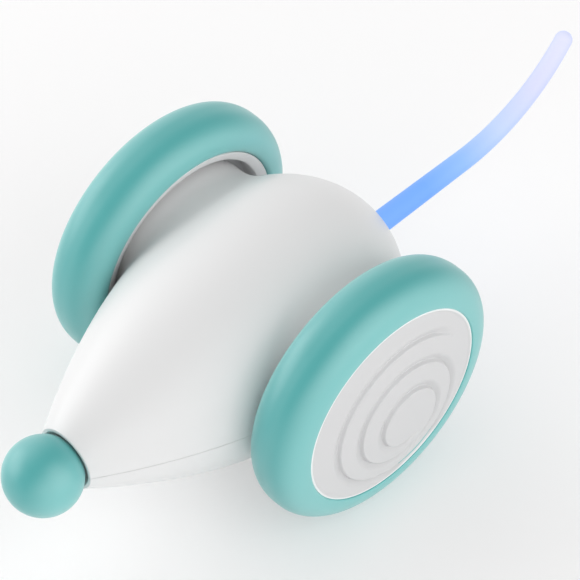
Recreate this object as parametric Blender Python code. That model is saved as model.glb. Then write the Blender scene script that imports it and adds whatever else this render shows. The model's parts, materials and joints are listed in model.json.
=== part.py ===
"""Robotic mouse for cats: two big soft tyres, a drop-shaped housing, a nose button and a glowing tail.

Metres, +Z up. The origin is on the floor, under the middle of the toy's box. +Y runs towards the tail and
+X along the axle to the mouse's left. Shapes are drawn about the middle of the axle, or about their own
axis, and are then placed by their objects.
"""

import math

import bmesh
import bpy
import numpy as np

# Fits
TOUCH_GAP = 0.0003  # left between pieces that touch
RUNNING_GAP = 0.0002  # radial, between a pin or shaft and what turns on it
SLIDE_GAP = 0.0004  # round a piece that slides in a hole
OVERRUN = 0.002  # a cutter passes the face it opens by this much

# Wheels, measured outwards from the wheel's middle plane
WHEEL_RADIUS = 0.0355
TYRE_OUTER_BULGE = 0.0080
TYRE_INNER_BULGE = 0.0082
TYRE_OUTER_EDGE = 0.0005  # how far the tyre curls back in towards its seat
TYRE_INNER_EDGE = 0.0013
TREAD_FLAT = 0.0020  # width of the level band that rolls on the floor
TYRE_ROUNDNESS = 2.1
TYRE_STEPS = 4
TYRE_DEPTH = 0.0082  # from the tread to the edge of the cap and of the hub's lip
CAP_SETBACK = 0.0005  # behind the widest of the tyre
CAP_THICKNESS = 0.0016
CAP_EDGE = 0.0004
SNAP_LENGTH = 0.0015
SNAP_WALL = 0.0010
LIP_SETBACK = 0.0013
LIP_DISHING = 0.0008
LIP_CLEARANCE = 0.001424  # beside the housing's flank
FLANGE_THICKNESS = 0.0014
BEAD_DEPTH = 0.0015  # how far the tyre's bead sits in the hub's channel
RIM_WALL = 0.0011
WEB_THICKNESS = 0.0020
HUB_CLEARANCE = 0.0012  # between the hub's web and the housing's boss
HUB_NOSE_RADIUS = 0.0045
HUB_NOSE_SETBACK = 0.0023  # behind the cap
WHEEL_SIDES = 32

# Spiral groove in the caps: an opening circle whose middle drifts as it grows
SPIRAL_TURNS = 2.75
SPIRAL_STEPS_PER_TURN = 15
SPIRAL_START_ANGLE = math.radians(305)
SPIRAL_START_SHARE = 0.198  # of the cap's radius, as are the next five
SPIRAL_PITCH_SHARE = 0.227
SPIRAL_MIDDLE_Y_SHARE = 0.227
SPIRAL_MIDDLE_Z_SHARE = -0.491
SPIRAL_DRIFT_Y_SHARE = -0.051
SPIRAL_DRIFT_Z_SHARE = 0.110
GROOVE_DEPTH = 0.0006
GROOVE_WIDTH = 0.0026
GROOVE_NARROW_SHARE = 0.45  # of the width, where the turns crowd together

# Housing: a solid of revolution about Y, power curve in front of the axle and ellipse behind it
BODY_RADIUS = 0.0308
NOSE_REACH = 0.0789  # where the front curve would close
NOSE_POWER = 1.85
REAR_REACH = 0.0363
NOSE_RIM_SETBACK = 0.0126  # from where the front curve would close
TAIL_RIM_RADIUS = 0.0040
WALL = 0.0018
BOSS_CLEARANCE = 0.0016  # round the side bosses, which reach into the wheels' rims
BOSS_SETBACK = 0.0036  # from the wheel's middle plane in to the end of the boss
FILLET = 0.0055
FILLET_END_SHARE = 0.7  # of the boss's own length, where that is shorter than the fillet
BULKHEAD_DEPTH = 0.0080  # solid behind the nose's rim
TAIL_WALL_DEPTH = 0.0031  # solid at the tail's end
SEAM_GAP = TOUCH_GAP

# Screws that hold the two shells together, from below
POST_RADIUS = 0.0026
FRONT_POST_X = 0.0090
FRONT_POST_SETBACK = 0.0183  # behind the bulkhead
REAR_POST_X = 0.0125
REAR_POST_SETBACK = 0.0097  # in front of the tail's wall
SCREW_RADIUS = 0.0010
SCREW_HEAD_RADIUS = 0.0021
SCREW_HEAD_HEIGHT = 0.0016
SCREW_SEAT_RISE = 0.0153  # above the belly
SCREW_TIP_Z = 0.0075
SCREW_SIDES = 8

# Drive, the same on both sides: motor, two double gears and the gear on the axle
BOSS_MODULES = 38.5  # gear modules in the boss's radius, so that the train fits inside it
AXLE_TEETH = 28
BIG_TEETH = 24
SMALL_TEETH = 8
CENTRE_CLEARANCE = 0.0001
GEAR_WIDTH = 0.0024
GEAR_SIDE_GAP = 0.0004
GEAR_2_BEARING = math.radians(150)  # from the axle
GEAR_1_BEARING = math.radians(240)  # from gear 2
MOTOR_BEARING = math.radians(334)  # from gear 1
SMALL_TOOTH_SHARES = (0.90, 1.10, 0.22, 0.55)  # of the module: height, depth; of a tooth: half tip, half root
BIG_TOOTH_SHARES = (0.75, 1.15, 0.26, 0.60)
MOTOR_INNER_END = 0.0010
MOTOR_WIDTH = 0.0120
MOTOR_HEIGHT = 0.0100
MOTOR_CORNER = 0.0035
MOTOR_NECK_RADIUS = 0.0020
MOTOR_SHAFT_RADIUS = 0.0005
PLATE_THICKNESS = 0.0012
PLATE_MARGIN = 0.0026
STANDOFF_RADIUS = 0.0016
STANDOFF_MODULES = 21  # from the axle
STANDOFF_BEARINGS = tuple(math.radians(degrees) for degrees in (18, 92, 288))
AXLE_RADIUS = 0.0015
AXLE_SIDES = 12
PIN_RADIUS = 0.0008
PIN_SIDES = 8
BUSH_WALL = 0.0012
BUSH_FLANGE_RADIUS = 0.0044
BUSH_FLANGE_THICKNESS = 0.0013
HUB_SCREW_RADIUS = 0.0007
HUB_SCREW_DEPTH = 0.0040
HUB_SCREW_HEAD_RADIUS = 0.0028
HUB_SCREW_HEAD_HEIGHT = 0.0013

# Nose button
BALL_STANDOFF = 0.0072  # of its middle, in front of the housing's rim
BALL_RADIUS = 0.0100
BALL_WALL = 0.0024
BALL_SIDES = 16
NOSE_TRAVEL = 0.0008
STEM_RADIUS = 0.0023
STEM_BORE_RADIUS = 0.0011
STEM_SETBACK = 0.0054  # of its end, in front of the carrier
CLIP_RADIUS = 0.0052
CLIP_THICKNESS = 0.0008
CLIP_GROOVE_DEPTH = 0.0005
CARRIER_SETBACK = 0.0083  # behind the bulkhead
CARRIER_THICKNESS = 0.0012
SPRING_RADIUS = 0.0044
SPRING_WIRE_RADIUS = 0.00025
SPRING_TURNS = 4
SPRING_STEPS_PER_TURN = 9
NOSE_SWITCH_SIZE = 0.0052

# Tail: straight out of the housing, then bending upwards
TAIL_PLUG_LENGTH = 0.0032  # inside the tail's wall
TAIL_BASE_RADIUS = 0.0030
TAIL_TIP_RADIUS = 0.0023
TAIL_STRAIGHT_LENGTH = 0.0320  # from the housing's rear to the bend
TAIL_BEND_RADIUS = 0.0450
TAIL_BEND_ANGLE = math.radians(52)
TAIL_STRAIGHT_STEPS = 5
TAIL_BEND_STEPS = 11
TAIL_TIP_STEPS = 3
TAIL_SIDES = 12
SOCKET_RADIUS = 0.0056
SOCKET_FLANGE_THICKNESS = 0.0018
SOCKET_LENGTH = 0.0096
LED_RADIUS = 0.0015
LED_FLANGE_RADIUS = 0.0020
LED_FLANGE_THICKNESS = 0.0010
LED_BODY_LENGTH = 0.0028

# Electronics, ballast and the controls under the belly
BOARD_LENGTH = 0.0170
BETWEEN_PLATES_GAP = 0.0033  # from the gear plates to the board and the battery
BOARD_THICKNESS = 0.0012
BOARD_FRONT_Y = -0.0142
BOARD_RISE = 0.0092  # above the belly
BOARD_POST_RADIUS = 0.0013
BOARD_POST_INSET = 0.0016
BATTERY_SIDE_GAP = 0.0012  # from its lower edges to the shell
BATTERY_REAR_GAP = 0.0025  # to the rear screw posts
BATTERY_HEIGHT = 0.0085
BATTERY_CORNER = 0.0018
BATTERY_FRONT_Y = 0.0014
BALLAST_FOOT_RISE = 0.0102  # of the foot's top, above the belly
BALLAST_FRONT_GAP = 0.0020  # to the board
BALLAST_REAR_GAP = 0.0032  # to the tail's wall
BALLAST_ARM_THICKNESS = 0.0090
BALLAST_ARM_Y = 0.0020  # front end of the arm that reaches forward over the battery
PORT_Y = -0.0094
PORT_WIDTH = 0.0090
PORT_HEIGHT = 0.0032
PORT_WALL = 0.0003
PORT_CORNER_SHARE = 0.45  # of its height
PORT_DEPTH = 0.0062
PORT_TONGUE_WIDTH = 0.0066
PORT_TONGUE_HEIGHT = 0.0007
PORT_MOUTH_INSET = 0.0008  # below the lowest skin beside it
BUTTON_Y = -0.0010
BUTTON_RADIUS = 0.0040
BUTTON_FLANGE_RADIUS = 0.0052
BUTTON_FLANGE_THICKNESS = 0.0010
BUTTON_STEM_RADIUS = 0.0016
BUTTON_TRAVEL = 0.0003
BUTTON_SEAT_RISE = 0.0004  # of the flat seat inside the skin
SWITCH_SIZE = 0.0060
SWITCH_HEIGHT = 0.0035
SWITCH_PLUNGER_RADIUS = 0.0017
SWITCH_PLUNGER_HEIGHT = 0.0009

# How finely the housing is drawn: (tail quarter, top edge, nose quarter, fillet, flank) steps
SKIN_STEPS = (3, 11, 4, 3, 5)
CAVITY_STEPS = (3, 7, 3, 2, 3)

SIDES = (("left", 1), ("right", -1))


# Places that follow from the sizes
CAP_FACE = TYRE_OUTER_BULGE - CAP_SETBACK
CAP_BACK = CAP_FACE - CAP_THICKNESS
HUB_NOSE_FACE = CAP_BACK - HUB_NOSE_SETBACK
LIP_FACE = TYRE_INNER_BULGE - LIP_SETBACK
DISC_RADIUS = WHEEL_RADIUS - TYRE_DEPTH
FLANK_X = BODY_RADIUS * (1 - (DISC_RADIUS / NOSE_REACH) ** NOSE_POWER)  # beside the edge of the hub's lip
HALF_TRACK = FLANK_X + LIP_CLEARANCE + LIP_FACE  # from the middle of the toy to a wheel's middle plane
CHANNEL_RADIUS = DISC_RADIUS - BEAD_DEPTH
RIM_INNER_RADIUS = CHANNEL_RADIUS - RIM_WALL
SPIRAL_START_RADIUS = SPIRAL_START_SHARE * DISC_RADIUS
SPIRAL_PITCH = SPIRAL_PITCH_SHARE * DISC_RADIUS
SPIRAL_MIDDLE_Y = SPIRAL_MIDDLE_Y_SHARE * DISC_RADIUS
SPIRAL_MIDDLE_Z = SPIRAL_MIDDLE_Z_SHARE * DISC_RADIUS
SPIRAL_DRIFT_Y = SPIRAL_DRIFT_Y_SHARE * DISC_RADIUS
SPIRAL_DRIFT_Z = SPIRAL_DRIFT_Z_SHARE * DISC_RADIUS
BOSS_RADIUS = RIM_INNER_RADIUS - BOSS_CLEARANCE
BOSS_END = HALF_TRACK - BOSS_SETBACK
NOSE_RIM_Y = NOSE_RIM_SETBACK - NOSE_REACH
BALL_Y = NOSE_RIM_Y - BALL_STANDOFF
BULKHEAD_Y = NOSE_RIM_Y + BULKHEAD_DEPTH
CARRIER_Y = BULKHEAD_Y + CARRIER_SETBACK
STEM_END_Y = CARRIER_Y - STEM_SETBACK
TAIL_WALL_Y = REAR_REACH - TAIL_WALL_DEPTH
TAIL_ROOT_Y = TAIL_WALL_Y - TAIL_PLUG_LENGTH
TAIL_BEND_Y = REAR_REACH + TAIL_STRAIGHT_LENGTH
SOCKET_FRONT_Y = TAIL_WALL_Y - SOCKET_LENGTH
FRONT_POST = (FRONT_POST_X, BULKHEAD_Y + FRONT_POST_SETBACK)
REAR_POST = (REAR_POST_X, TAIL_WALL_Y - REAR_POST_SETBACK)
SCREW_SEAT_Z = SCREW_SEAT_RISE - BODY_RADIUS
BOARD_BOTTOM_Z = BOARD_RISE - BODY_RADIUS
MODULE = BOSS_RADIUS / BOSS_MODULES
STANDOFF_REACH = STANDOFF_MODULES * MODULE


def tail_path():
    """Points and radii along the tail's middle line, from its root to its rounded tip."""
    points, radii = [], []
    bend_length = TAIL_BEND_RADIUS * TAIL_BEND_ANGLE
    length = TAIL_BEND_Y - TAIL_ROOT_Y + bend_length
    runs = list(np.linspace(0, TAIL_BEND_Y - TAIL_ROOT_Y, TAIL_STRAIGHT_STEPS, endpoint=False))
    runs += list(TAIL_BEND_Y - TAIL_ROOT_Y + np.linspace(0, bend_length, TAIL_BEND_STEPS))
    for run in runs:
        angle = max(0, run - (TAIL_BEND_Y - TAIL_ROOT_Y)) / TAIL_BEND_RADIUS
        y = min(TAIL_ROOT_Y + run, TAIL_BEND_Y) + TAIL_BEND_RADIUS * math.sin(angle)
        points.append((0, y, TAIL_BEND_RADIUS * (1 - math.cos(angle))))
        radii.append(TAIL_BASE_RADIUS + (TAIL_TIP_RADIUS - TAIL_BASE_RADIUS) * run / length)
    end = np.array(points[-1])
    onward = np.array((0, math.cos(TAIL_BEND_ANGLE), math.sin(TAIL_BEND_ANGLE)))
    for step in range(1, TAIL_TIP_STEPS + 1):
        angle = math.pi / 2 * step / TAIL_TIP_STEPS
        points.append(tuple(end + onward * TAIL_TIP_RADIUS * math.sin(angle)))
        radii.append(TAIL_TIP_RADIUS * math.cos(angle) if step < TAIL_TIP_STEPS else 0)
    return points, radii


TAIL_END_Y = TAIL_BEND_Y + TAIL_BEND_RADIUS * math.sin(TAIL_BEND_ANGLE) + TAIL_TIP_RADIUS
NOSE_END_Y = BALL_Y - BALL_RADIUS
AXLE_PLACE = (0, -(TAIL_END_Y + NOSE_END_Y) / 2, WHEEL_RADIUS)
FLANGE_BACK = -LIP_FACE + FLANGE_THICKNESS
WEB_INNER = BOSS_END + HUB_CLEARANCE - HALF_TRACK
WEB_OUTER = WEB_INNER + WEB_THICKNESS
HUB_BORE = AXLE_RADIUS + RUNNING_GAP
HUB_SCREW_TOP = HALF_TRACK + HUB_NOSE_FACE + TOUCH_GAP
LAYER_STEP = GEAR_WIDTH + GEAR_SIDE_GAP
COVER_OUTER = BOSS_END - WALL - 2 * TOUCH_GAP - BUSH_FLANGE_THICKNESS
COVER_INNER = COVER_OUTER - PLATE_THICKNESS
LAYERS = tuple(COVER_INNER - (3 - index) * LAYER_STEP for index in range(3))
PLATE_OUTER = LAYERS[0] - GEAR_SIDE_GAP
PLATE_INNER = PLATE_OUTER - PLATE_THICKNESS
MOTOR_LENGTH = PLATE_INNER - TOUCH_GAP - MOTOR_INNER_END
BOARD_WIDTH = 2 * (PLATE_INNER - BETWEEN_PLATES_GAP)
BUSH_RADIUS = AXLE_RADIUS + RUNNING_GAP + BUSH_WALL
BORE_IN_BOSS = BUSH_RADIUS + TOUCH_GAP
BALLAST_TOP_Z = BALLAST_FOOT_RISE - BODY_RADIUS
BALLAST_FRONT_Y = BOARD_FRONT_Y + BOARD_LENGTH + BALLAST_FRONT_GAP
BALLAST_REAR_Y = TAIL_WALL_Y - BALLAST_REAR_GAP
BATTERY_BOTTOM_Z = BALLAST_TOP_Z + 2 * TOUCH_GAP
BATTERY_LENGTH = REAR_POST[1] - POST_RADIUS - BATTERY_REAR_GAP - BATTERY_FRONT_Y
BALLAST_ARM_TOP_Z = BATTERY_BOTTOM_Z + BATTERY_HEIGHT + TOUCH_GAP + BALLAST_ARM_THICKNESS


def spot(origin, bearing, distance):
    """The point at a distance from another, at an angle from +Y towards +Z."""
    return (origin[0] + distance * math.cos(bearing), origin[1] + distance * math.sin(bearing))


def centre_distance(teeth_a, teeth_b):
    return MODULE * (teeth_a + teeth_b) / 2 + CENTRE_CLEARANCE


AXLE_SPOT = (0, 0)
GEAR_2_SPOT = spot(AXLE_SPOT, GEAR_2_BEARING, centre_distance(AXLE_TEETH, SMALL_TEETH))
GEAR_1_SPOT = spot(GEAR_2_SPOT, GEAR_1_BEARING, centre_distance(BIG_TEETH, SMALL_TEETH))
MOTOR_SPOT = spot(GEAR_1_SPOT, MOTOR_BEARING, centre_distance(BIG_TEETH, SMALL_TEETH))
STANDOFF_SPOTS = tuple(spot(AXLE_SPOT, bearing, STANDOFF_REACH) for bearing in STANDOFF_BEARINGS)


# Mesh helpers
def place(axis, along, a, b):
    """A point given by its distance along an axis and its two other coordinates, in X, Y, Z order."""
    return {"X": (along, a, b), "Y": (a, along, b), "Z": (a, b, along)}[axis]


def skin(bm, low, high):
    """Faces between two closed rings of points. A ring of one point is the tip of a cone."""
    count = max(len(low), len(high))
    for k in range(count):
        corners = [low[k % len(low)], low[(k + 1) % len(low)], high[(k + 1) % len(high)], high[k % len(high)]]
        bm.faces.new(list(dict.fromkeys(corners)))


def circle(radius, sides, centre=(0, 0), phase=0.0):
    angles = [phase + math.tau * k / sides for k in range(sides)]
    return [(centre[0] + radius * math.cos(a), centre[1] + radius * math.sin(a)) for a in angles]


def rounded_rectangle(width, height, corner, steps=3, centre=(0, 0)):
    points = []
    for quarter, (sa, sb) in enumerate(((1, 1), (-1, 1), (-1, -1), (1, -1))):
        middle = (centre[0] + sa * (width / 2 - corner), centre[1] + sb * (height / 2 - corner))
        for step in range(steps + 1):
            angle = math.pi / 2 * (quarter + step / steps)
            points.append((middle[0] + corner * math.cos(angle), middle[1] + corner * math.sin(angle)))
    return points


def hull(points):
    """The convex outline round some points, anticlockwise."""
    points = sorted(set(points))

    def half(sequence):
        chain = []
        for p in sequence:
            while len(chain) > 1:
                (ax, ay), (bx, by) = chain[-2:]
                if (bx - ax) * (p[1] - ay) - (by - ay) * (p[0] - ax) > 0:
                    break
                chain.pop()
            chain.append(p)
        return chain[:-1]

    return half(points) + half(points[::-1])


def lathe(outline, sides, axis="X", phase=0.0, centre=(0, 0)):
    """Turns an outline of (along, radius) points. It closes on itself, or starts and ends on the axis."""
    bm = bmesh.new()
    rings = []
    for along, radius in outline:
        flat = circle(radius, sides, centre, phase) if radius > 0 else [centre]
        rings.append([bm.verts.new(place(axis, along, a, b)) for a, b in flat])
    pairs = list(zip(rings, rings[1:]))
    if outline[0][1] > 0:
        pairs.append((rings[-1], rings[0]))
    for low, high in pairs:
        skin(bm, low, high)
    bmesh.ops.recalc_face_normals(bm, faces=bm.faces)
    return bm


class Extrusion:
    """A solid of flat caps and straight walls, for gears, plates and other pieces with holes and bosses."""

    def __init__(self, axis):
        self.axis = axis
        self.bm = bmesh.new()
        self.rings = {}

    def ring(self, loop, height):
        key = (id(loop), height)
        if key not in self.rings:
            verts = [self.bm.verts.new(place(self.axis, height, a, b)) for a, b in loop]
            self.rings[key] = verts
        return self.rings[key]

    def wall(self, loop, low, high):
        skin(self.bm, self.ring(loop, low), self.ring(loop, high))

    def cap(self, height, *loops):
        edges = []
        for loop in loops:
            verts = self.ring(loop, height)
            for a, b in zip(verts, verts[1:] + verts[:1]):
                edges.append(self.bm.edges.get((a, b)) or self.bm.edges.new((a, b)))
        bmesh.ops.triangle_fill(self.bm, use_beauty=True, edges=edges)

    def solid(self):
        bmesh.ops.recalc_face_normals(self.bm, faces=self.bm.faces)
        return self.bm


def prism(axis, low, high, outline, *holes):
    body = Extrusion(axis)
    for loop in (outline, *holes):
        body.wall(loop, low, high)
    body.cap(low, outline, *holes)
    body.cap(high, outline, *holes)
    return body.solid()


def box(low, high):
    outline = [(low[1], low[2]), (high[1], low[2]), (high[1], high[2]), (low[1], high[2])]
    return prism("X", low[0], high[0], outline)


def joined(*parts):
    """Several closed shapes that stay clear of each other, as one mesh."""
    whole = bmesh.new()
    for part in parts:
        mesh = bpy.data.meshes.new("joining")
        part.to_mesh(mesh)
        whole.from_mesh(mesh)
        bpy.data.meshes.remove(mesh)
        part.free()
    return whole


def mirrored(bm):
    bmesh.ops.scale(bm, vec=(-1, 1, 1), verts=bm.verts)
    bmesh.ops.reverse_faces(bm, faces=bm.faces)
    return bm


def on_side(bm, side):
    return bm if side > 0 else mirrored(bm)


# Object helpers
def clear_scene():
    for obj in list(bpy.data.objects):
        bpy.data.objects.remove(obj, do_unlink=True)


def add_object(name, data, parent=None, at=(0, 0, 0)):
    obj = bpy.data.objects.new(name, data)
    bpy.context.scene.collection.objects.link(obj)
    obj.location = at
    obj.parent = parent
    return obj


def pivot(name, parent=None, at=(0, 0, 0)):
    return add_object(name, None, parent, at)


def piece(name, bm, material, parent, smooth_angle=math.radians(35)):
    mesh = bpy.data.meshes.new(name)
    bm.to_mesh(mesh)
    bm.free()
    mesh.materials.append(material)
    mesh.shade_smooth()
    mesh.set_sharp_from_angle(angle=smooth_angle)
    return add_object(name, mesh, parent)


def cutter(name, bm, parent):
    mesh = bpy.data.meshes.new(name)
    bm.to_mesh(mesh)
    bm.free()
    obj = add_object(name, mesh, parent)
    obj.hide_render = True
    obj.display_type = "WIRE"
    return obj


def boolean(obj, tool, operation="DIFFERENCE"):
    modifier = obj.modifiers.new(tool.name, "BOOLEAN")
    modifier.operation = operation
    modifier.solver = "EXACT"
    modifier.object = tool


def finish(name, colour, roughness, metallic=0.0, **sockets):
    material = bpy.data.materials.new(name)
    material.use_nodes = True
    shader = material.node_tree.nodes["Principled BSDF"]
    shader.inputs["Base Color"].default_value = (*colour, 1.0)
    shader.inputs["Roughness"].default_value = roughness
    shader.inputs["Metallic"].default_value = metallic
    for socket, value in sockets.items():
        shader.inputs[socket.replace("_", " ")].default_value = value
    return material


# Wheels
def tyre_section():
    """The tyre's outline: a bulging tread over a bead that sits in the hub's channel."""
    seat = DISC_RADIUS + TOUCH_GAP
    outer = tyre_half(TYRE_OUTER_BULGE, TYRE_OUTER_EDGE, seat)
    inner = tyre_half(TYRE_INNER_BULGE, TYRE_INNER_EDGE, seat)
    bead_outer = CAP_BACK - TOUCH_GAP
    bead_inner = FLANGE_BACK + TOUCH_GAP
    bead = CHANNEL_RADIUS + TOUCH_GAP
    outline = outer[::-1] + [(-along, radius) for along, radius in inner]
    return outline + [(bead_inner, seat), (bead_inner, bead), (bead_outer, bead), (bead_outer, seat)]


def tyre_half(bulge, edge, seat):
    """From the edge of the level band out to the tyre's widest place, and back in to the seat."""
    depth = WHEEL_RADIUS - seat - edge
    level = TREAD_FLAT / 2
    half = []
    for step in range(TYRE_STEPS + 1):
        angle = math.pi / 2 * step / TYRE_STEPS
        along = level + (bulge - level) * math.sin(angle) ** (2 / TYRE_ROUNDNESS)
        down = depth * (1 - abs(math.cos(angle)) ** (2 / TYRE_ROUNDNESS))
        half.append((along, WHEEL_RADIUS - down))
    return half + [(bulge - edge, seat)]


def tread_scale(outline):
    """Radii to the middle of each flat instead of to its corners, so that a flat meets the floor."""
    grow = 1 / math.cos(math.pi / WHEEL_SIDES)
    return [(HALF_TRACK + along, radius * grow) for along, radius in outline]


def make_tyre(side):
    return on_side(lathe(tread_scale(tyre_section()), WHEEL_SIDES, phase=math.pi / WHEEL_SIDES), side)


def make_hub(side):
    """A dished wheel centre: lip, rim with the tyre's channel, web and nose for the axle."""
    outline = [
        (WEB_INNER, HUB_BORE),
        (WEB_INNER, RIM_INNER_RADIUS),
        (-LIP_FACE + LIP_DISHING, RIM_INNER_RADIUS),
        (-LIP_FACE, DISC_RADIUS),
        (FLANGE_BACK, DISC_RADIUS),
        (FLANGE_BACK, CHANNEL_RADIUS),
        (CAP_BACK - TOUCH_GAP, CHANNEL_RADIUS),
        (CAP_BACK - TOUCH_GAP, RIM_INNER_RADIUS),
        (WEB_OUTER, RIM_INNER_RADIUS),
        (WEB_OUTER, HUB_NOSE_RADIUS),
        (HUB_NOSE_FACE, HUB_NOSE_RADIUS),
        (HUB_NOSE_FACE, HUB_BORE),
    ]
    return on_side(lathe(tread_scale(outline), WHEEL_SIDES, phase=math.pi / WHEEL_SIDES), side)


def spiral_point(turn):
    """The groove's sharp edge at a number of turns from its start: its place, and the way outwards."""
    angle = SPIRAL_START_ANGLE - math.tau * turn
    radius = SPIRAL_START_RADIUS + SPIRAL_PITCH * turn
    out = np.array((math.cos(angle), math.sin(angle)))
    middle = np.array((SPIRAL_MIDDLE_Y + SPIRAL_DRIFT_Y * turn, SPIRAL_MIDDLE_Z + SPIRAL_DRIFT_Z * turn))
    return middle + radius * out, out


def make_groove():
    """The tool that cuts the spiral: a steep wall inside, and a slope that runs out on the outer side."""
    drift = np.array((SPIRAL_DRIFT_Y, SPIRAL_DRIFT_Z))
    drift_way = drift / np.linalg.norm(drift)
    face = HALF_TRACK + CAP_FACE
    lift = GROOVE_DEPTH / 5
    steps = round(SPIRAL_TURNS * SPIRAL_STEPS_PER_TURN)
    bm = bmesh.new()
    rings = []
    for step in range(steps + 1):
        point, out = spiral_point(SPIRAL_TURNS * step / steps)
        openness = (1 + float(out @ drift_way)) / 2
        width = GROOVE_WIDTH * (GROOVE_NARROW_SHARE + (1 - GROOVE_NARROW_SHARE) * openness)
        reach = width * (1 + lift / GROOVE_DEPTH)
        depth = GROOVE_DEPTH if 0 < step < steps else 0
        rim = point + out * reach
        section = [
            (face + lift, *point),
            (face - depth, *point),
            (face + lift, *rim),
        ]
        rings.append([bm.verts.new(corner) for corner in section])
    for low, high in zip(rings, rings[1:]):
        skin(bm, low, high)
    bm.faces.new(rings[0])
    bm.faces.new(rings[-1])
    bmesh.ops.recalc_face_normals(bm, faces=bm.faces)
    return bm


def make_cap(side):
    snap_outer = RIM_INNER_RADIUS - TOUCH_GAP
    outline = [
        (CAP_FACE, 0),
        (CAP_FACE, DISC_RADIUS - CAP_EDGE),
        (CAP_FACE - CAP_EDGE, DISC_RADIUS),
        (CAP_BACK, DISC_RADIUS),
        (CAP_BACK, snap_outer),
        (CAP_BACK - SNAP_LENGTH, snap_outer),
        (CAP_BACK - SNAP_LENGTH, snap_outer - SNAP_WALL),
        (CAP_BACK, snap_outer - SNAP_WALL),
        (CAP_BACK, 0),
    ]
    return on_side(lathe(tread_scale(outline), WHEEL_SIDES, phase=math.pi / WHEEL_SIDES), side)


def make_axle(side):
    """A steel shaft from the inner gear plate out through the hub, drilled at its end for the hub's screw."""
    outer = HALF_TRACK + HUB_NOSE_FACE - TOUCH_GAP
    bore = HUB_SCREW_RADIUS + RUNNING_GAP
    floor = outer - HUB_SCREW_DEPTH - TOUCH_GAP
    outline = [(PLATE_INNER, 0), (PLATE_INNER, AXLE_RADIUS), (outer, AXLE_RADIUS)]
    outline += [(outer, bore), (floor, bore), (floor, 0)]
    return on_side(lathe(outline, AXLE_SIDES), side)


def make_hub_screw(side):
    tip = HALF_TRACK + HUB_NOSE_FACE - TOUCH_GAP - HUB_SCREW_DEPTH
    head = HUB_SCREW_TOP + HUB_SCREW_HEAD_HEIGHT
    edge = HUB_SCREW_HEAD_HEIGHT / 3
    outline = [(tip, 0), (tip, HUB_SCREW_RADIUS), (HUB_SCREW_TOP, HUB_SCREW_RADIUS)]
    outline += [(HUB_SCREW_TOP, HUB_SCREW_HEAD_RADIUS), (head - edge, HUB_SCREW_HEAD_RADIUS)]
    outline += [(head, HUB_SCREW_HEAD_RADIUS - edge), (head, 0)]
    return on_side(lathe(outline, SCREW_SIDES), side)


# Gears
def tooth_outline(teeth, shares, phase):
    """Four points a tooth: the two feet and the two corners of the tip."""
    height, depth, tip, root = shares
    pitch_radius = MODULE * teeth / 2
    tip_radius = pitch_radius + height * MODULE
    root_radius = pitch_radius - depth * MODULE
    half_tip = tip * math.pi * MODULE / 2 / tip_radius
    half_root = root * math.pi * MODULE / 2 / root_radius
    points = []
    for k in range(teeth):
        middle = phase + math.tau * k / teeth
        for radius, angle in (
            (root_radius, middle - half_root),
            (tip_radius, middle - half_tip),
            (tip_radius, middle + half_tip),
            (root_radius, middle + half_root),
        ):
            points.append((radius * math.cos(angle), radius * math.sin(angle)))
    return points


def phase_in_mesh(phase_a, teeth_a, teeth_b, bearing):
    """The phase that puts a gap of gear b where gear a, seen at this bearing, has a tooth."""
    turned_a = (bearing - phase_a) * teeth_a / math.tau
    turned_b = 0.5 - turned_a
    return bearing + math.pi - turned_b * math.tau / teeth_b


AXLE_GEAR_PHASE = 0.0
GEAR_2_SMALL_PHASE = phase_in_mesh(AXLE_GEAR_PHASE, AXLE_TEETH, SMALL_TEETH, GEAR_2_BEARING)
GEAR_2_BIG_PHASE = GEAR_2_SMALL_PHASE
GEAR_1_SMALL_PHASE = phase_in_mesh(GEAR_2_BIG_PHASE, BIG_TEETH, SMALL_TEETH, GEAR_1_BEARING)
GEAR_1_BIG_PHASE = GEAR_1_SMALL_PHASE
PINION_PHASE = phase_in_mesh(GEAR_1_BIG_PHASE, BIG_TEETH, SMALL_TEETH, MOTOR_BEARING)


def make_axle_gear(side):
    teeth = tooth_outline(AXLE_TEETH, BIG_TOOTH_SHARES, AXLE_GEAR_PHASE)
    bore = circle(AXLE_RADIUS + RUNNING_GAP, AXLE_SIDES)
    return on_side(prism("X", LAYERS[2], LAYERS[2] + GEAR_WIDTH, teeth, bore), side)


def make_double_gear(side, layer, big_phase, small_phase):
    """A big wheel in one layer and a small one in the next, moulded as one."""
    big = tooth_outline(BIG_TEETH, BIG_TOOTH_SHARES, big_phase)
    small = tooth_outline(SMALL_TEETH, SMALL_TOOTH_SHARES, small_phase)
    bore = circle(PIN_RADIUS + RUNNING_GAP, PIN_SIDES)
    low = LAYERS[layer]
    middle = low + GEAR_WIDTH
    high = LAYERS[layer + 1] + GEAR_WIDTH
    body = Extrusion("X")
    body.wall(big, low, middle)
    body.wall(small, middle, high)
    body.wall(bore, low, high)
    body.cap(low, big, bore)
    body.cap(middle, big, small)
    body.cap(high, small, bore)
    return on_side(body.solid(), side)


def make_pinion(side):
    """The motor's small gear, pressed on its shaft."""
    teeth = tooth_outline(SMALL_TEETH, SMALL_TOOTH_SHARES, PINION_PHASE)
    shaft = circle(MOTOR_SHAFT_RADIUS, PIN_SIDES)
    low = LAYERS[0]
    body = Extrusion("X")
    body.wall(teeth, low, low + GEAR_WIDTH)
    body.wall(shaft, PLATE_INNER + TOUCH_GAP, low)
    body.cap(PLATE_INNER + TOUCH_GAP, shaft)
    body.cap(low, teeth, shaft)
    body.cap(low + GEAR_WIDTH, teeth)
    return on_side(body.solid(), side)


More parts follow.
